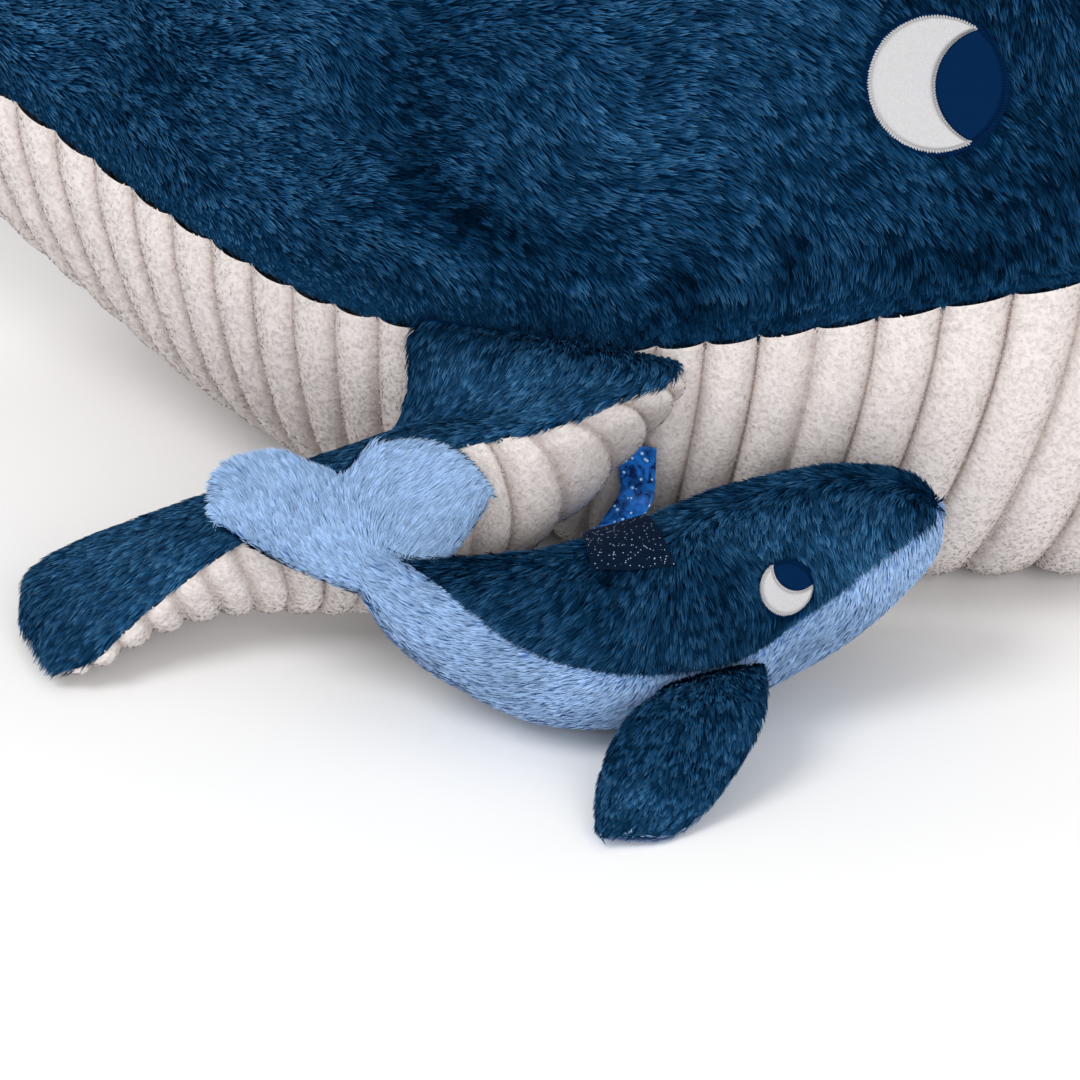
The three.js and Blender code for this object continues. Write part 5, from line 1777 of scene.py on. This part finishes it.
class PlushColours(PropertyGroup):
    """Colours of the cloths, felts and ribbon."""
    # The foot colours are painted shade deep in the pile, and the tip colours painted highlights on
    # the fibre tips
    navy_foot: colour_property("Navy Foot", "Foot of the dark pile", (0.0, 0.006, 0.022))
    navy_middle: colour_property("Navy Middle", "Middle of the dark pile", (0.004, 0.034, 0.092))
    navy_tip: colour_property("Navy Tip", "Tips of the dark pile", (0.043, 0.125, 0.225))
    cream_foot: colour_property("Cream Foot", "Foot of the terry", (0.27, 0.215, 0.19))
    cream_middle: colour_property("Cream Middle", "Middle of the terry", (0.61, 0.54, 0.515))
    cream_tip: colour_property("Cream Tip", "Tips of the terry", (0.745, 0.69, 0.67))
    blue_foot: colour_property("Blue Foot", "Foot of the light pile", (0.08, 0.195, 0.48))
    blue_middle: colour_property("Blue Middle", "Middle of the light pile", (0.24, 0.39, 0.64))
    blue_tip: colour_property("Blue Tip", "Tips of the light pile", (0.38, 0.525, 0.73))
    felt_white: colour_property("White Felt", "White of the eyes", (0.50, 0.495, 0.505))
    felt_dark: colour_property("Dark Felt", "Dark of the eyes", (0.0018, 0.0155, 0.057))
    ribbon_bright: colour_property("Ribbon Bright", "Bright threads", (0.012, 0.2, 0.72))
    ribbon_deep: colour_property("Ribbon Deep", "Deep threads", (0.0, 0.012, 0.09))
    glitter_dark: colour_property("Glitter Dark", "Ground of the patch", (0.001, 0.007, 0.022))


def size_property(name, description, default, low, high):
    """A size or share that a user may change."""
    return FloatProperty(name=name, description=description, default=default, min=low, max=high)


def unit_property(name, description, default, unit):
    """A value with a unit that a user may change."""
    return FloatProperty(name=name, description=description, default=default, unit=unit)


def count_property(name, description, default):
    """How many blades or loops stand on a piece."""
    return IntProperty(name=name, description=description, default=default, min=1)


class PlushPile(PropertyGroup):
    """Sizes of the pile, in millimetres, and how many blades stand on each piece."""
    length: size_property("Length", "Length of the dark pile in mm", 5.4, 1, 20)
    width: size_property("Width", "Width of a blade in mm", 0.52, 0.1, 3)
    rise: unit_property("Rise", "Angle at which pile leaves the cloth", 0.42, "ROTATION")
    clump: size_property("Clump", "How far tufts draw together", 0.32, 0, 1)
    swirl: unit_property("Swirl", "How far the lay wanders", 0.55, "ROTATION")
    nap_height: size_property("Nap Height", "Height of the terry in mm", 0.9, 0.2, 6)
    nap_width: size_property("Nap Width", "Width of a terry loop in mm", 0.8, 0.2, 4)
    small_length: size_property("Small Length", "Pile of the small whale in mm", 5.0, 1, 20)
    small_width: size_property("Small Width", "Blades of the small whale in mm", 0.45, 0.1, 3)
    blue_length: size_property("Blue Length", "Light pile in mm", 4.0, 1, 20)
    fin_length: size_property("Fin Length", "Pile of the small fins in mm", 3.4, 1, 20)
    back_count: count_property("Back", "Blades on the back", 264000)
    nap_count: count_property("Belly", "Loops on the belly", 190000)
    flipper_count: count_property("Flipper", "Blades on a flipper", 36000)
    flipper_nap_count: count_property("Flipper Nap", "Loops on a flipper", 32000)
    fluke_count: count_property("Flukes", "Blades on the flukes", 36000)
    small_count: count_property("Small Body", "Blades on the small back or belly", 44000)
    small_fluke_count: count_property("Small Flukes", "Blades on a small fluke face", 16000)
    fin_count: count_property("Fin", "Blades on a face of a fin", 9000)


class PlushStage(PropertyGroup):
    """Camera, floor and lamps."""
    azimuth: unit_property("Azimuth", "Camera turn to the whale's head", math.radians(15),
                           "ROTATION")
    elevation: unit_property("Elevation", "Camera angle over the floor", math.radians(30),
                             "ROTATION")
    distance: unit_property("Distance", "From the camera to the whale's side", 1.5, "LENGTH")
    lens: unit_property("Lens", "Focal length", 188.7, "CAMERA")
    floor_colour: colour_property("Floor", "Colour of the floor", (0.92, 0.92, 0.92))
    fill: size_property("Fill", "Light from all around", 0.64, 0, 1)
    key_power: unit_property("Key", "Power of the main lamp", 25.0, "POWER")
    front_power: unit_property("Front", "Power of the front lamp", 21.0, "POWER")
    rear_power: unit_property("Rear", "Power of the rear lamp", 8.0, "POWER")


# Operators

class PLUSH_OT_stage(Operator):
    """Adds the floor, the lamps and the camera"""
    bl_idname = "plush.stage"
    bl_label = "Stage"

    def execute(self, context):
        make_stage(context.scene.plush_stage)
        return {"FINISHED"}


class PLUSH_OT_back(Operator):
    """Makes the navy back and its pile"""
    bl_idname = "plush.back"
    bl_label = "Back"

    def execute(self, context):
        make_back(context.scene.plush_pile)
        return {"FINISHED"}


class PLUSH_OT_belly(Operator):
    """Makes the ribbed belly"""
    bl_idname = "plush.belly"
    bl_label = "Belly"

    def execute(self, context):
        make_belly(context.scene.plush_pile)
        return {"FINISHED"}


class PLUSH_OT_flippers(Operator):
    """Makes both flippers of the whale"""
    bl_idname = "plush.flippers"
    bl_label = "Flippers"

    def execute(self, context):
        for hand in SIDES:
            make_flipper(hand, context.scene.plush_pile)
        return {"FINISHED"}


class PLUSH_OT_flukes(Operator):
    """Makes the flukes of the whale"""
    bl_idname = "plush.flukes"
    bl_label = "Flukes"

    def execute(self, context):
        make_flukes(context.scene.plush_pile)
        return {"FINISHED"}


class PLUSH_OT_eyes(Operator):
    """Makes the eyes of both whales"""
    bl_idname = "plush.eyes"
    bl_label = "Eyes"

    def execute(self, context):
        cloths = ((WHALE_EYES, back_cloth()), (SMALL_EYES, small_cloth(OVER)))
        for hand in SIDES:
            for eyes, cloth in cloths:
                make_eye(eyes, hand, cloth)
        return {"FINISHED"}


class PLUSH_OT_small_whale(Operator):
    """Makes the body, flukes and fins of the small whale"""
    bl_idname = "plush.small_whale"
    bl_label = "Small Whale"

    def execute(self, context):
        settings = context.scene.plush_pile
        make_small_body(settings)
        make_small_flukes(settings)
        for hand in SIDES:
            make_small_fin(hand, settings)
        return {"FINISHED"}


class PLUSH_OT_ribbon(Operator):
    """Makes the ribbon and its patch"""
    bl_idname = "plush.ribbon"
    bl_label = "Ribbon"

    def execute(self, context):
        make_ribbon()
        make_patch()
        return {"FINISHED"}


class PLUSH_OT_inside(Operator):
    """Finishes the rattle and the crinkle film"""
    bl_idname = "plush.inside"
    bl_label = "Inside"

    def execute(self, context):
        finish_inner_pieces()
        return {"FINISHED"}


class PLUSH_PT_panel(Panel):
    """Lists the settings and steps of the plush whale"""
    bl_idname = "PLUSH_PT_panel"
    bl_label = "Plush Whale"
    bl_space_type = "VIEW_3D"
    bl_region_type = "UI"
    bl_category = "Plush"

    def draw(self, context):
        for group in (context.scene.plush_colours, context.scene.plush_pile,
                      context.scene.plush_stage):
            for name in type(group).__annotations__:
                self.layout.prop(group, name)
        for step in STEPS:
            self.layout.operator(step.bl_idname)


STEPS = (PLUSH_OT_stage, PLUSH_OT_back, PLUSH_OT_belly, PLUSH_OT_flippers, PLUSH_OT_flukes,
         PLUSH_OT_eyes, PLUSH_OT_small_whale, PLUSH_OT_ribbon, PLUSH_OT_inside)
CLASSES = (PlushColours, PlushPile, PlushStage, *STEPS, PLUSH_PT_panel)


def register():
    """Registers the classes and their settings."""
    for made in CLASSES:
        bpy.utils.register_class(made)
    bpy.types.Scene.plush_colours = PointerProperty(type=PlushColours)
    bpy.types.Scene.plush_pile = PointerProperty(type=PlushPile)
    bpy.types.Scene.plush_stage = PointerProperty(type=PlushStage)


def unregister():
    """Takes the settings and classes out again."""
    for name in ("plush_stage", "plush_pile", "plush_colours"):
        delattr(bpy.types.Scene, name)
    for made in reversed(CLASSES):
        bpy.utils.unregister_class(made)


def main():
    """Runs every step."""
    register()
    for step in STEPS:
        getattr(bpy.ops.plush, step.bl_idname.split(".")[1])()


if __name__ == "__main__":
    main()
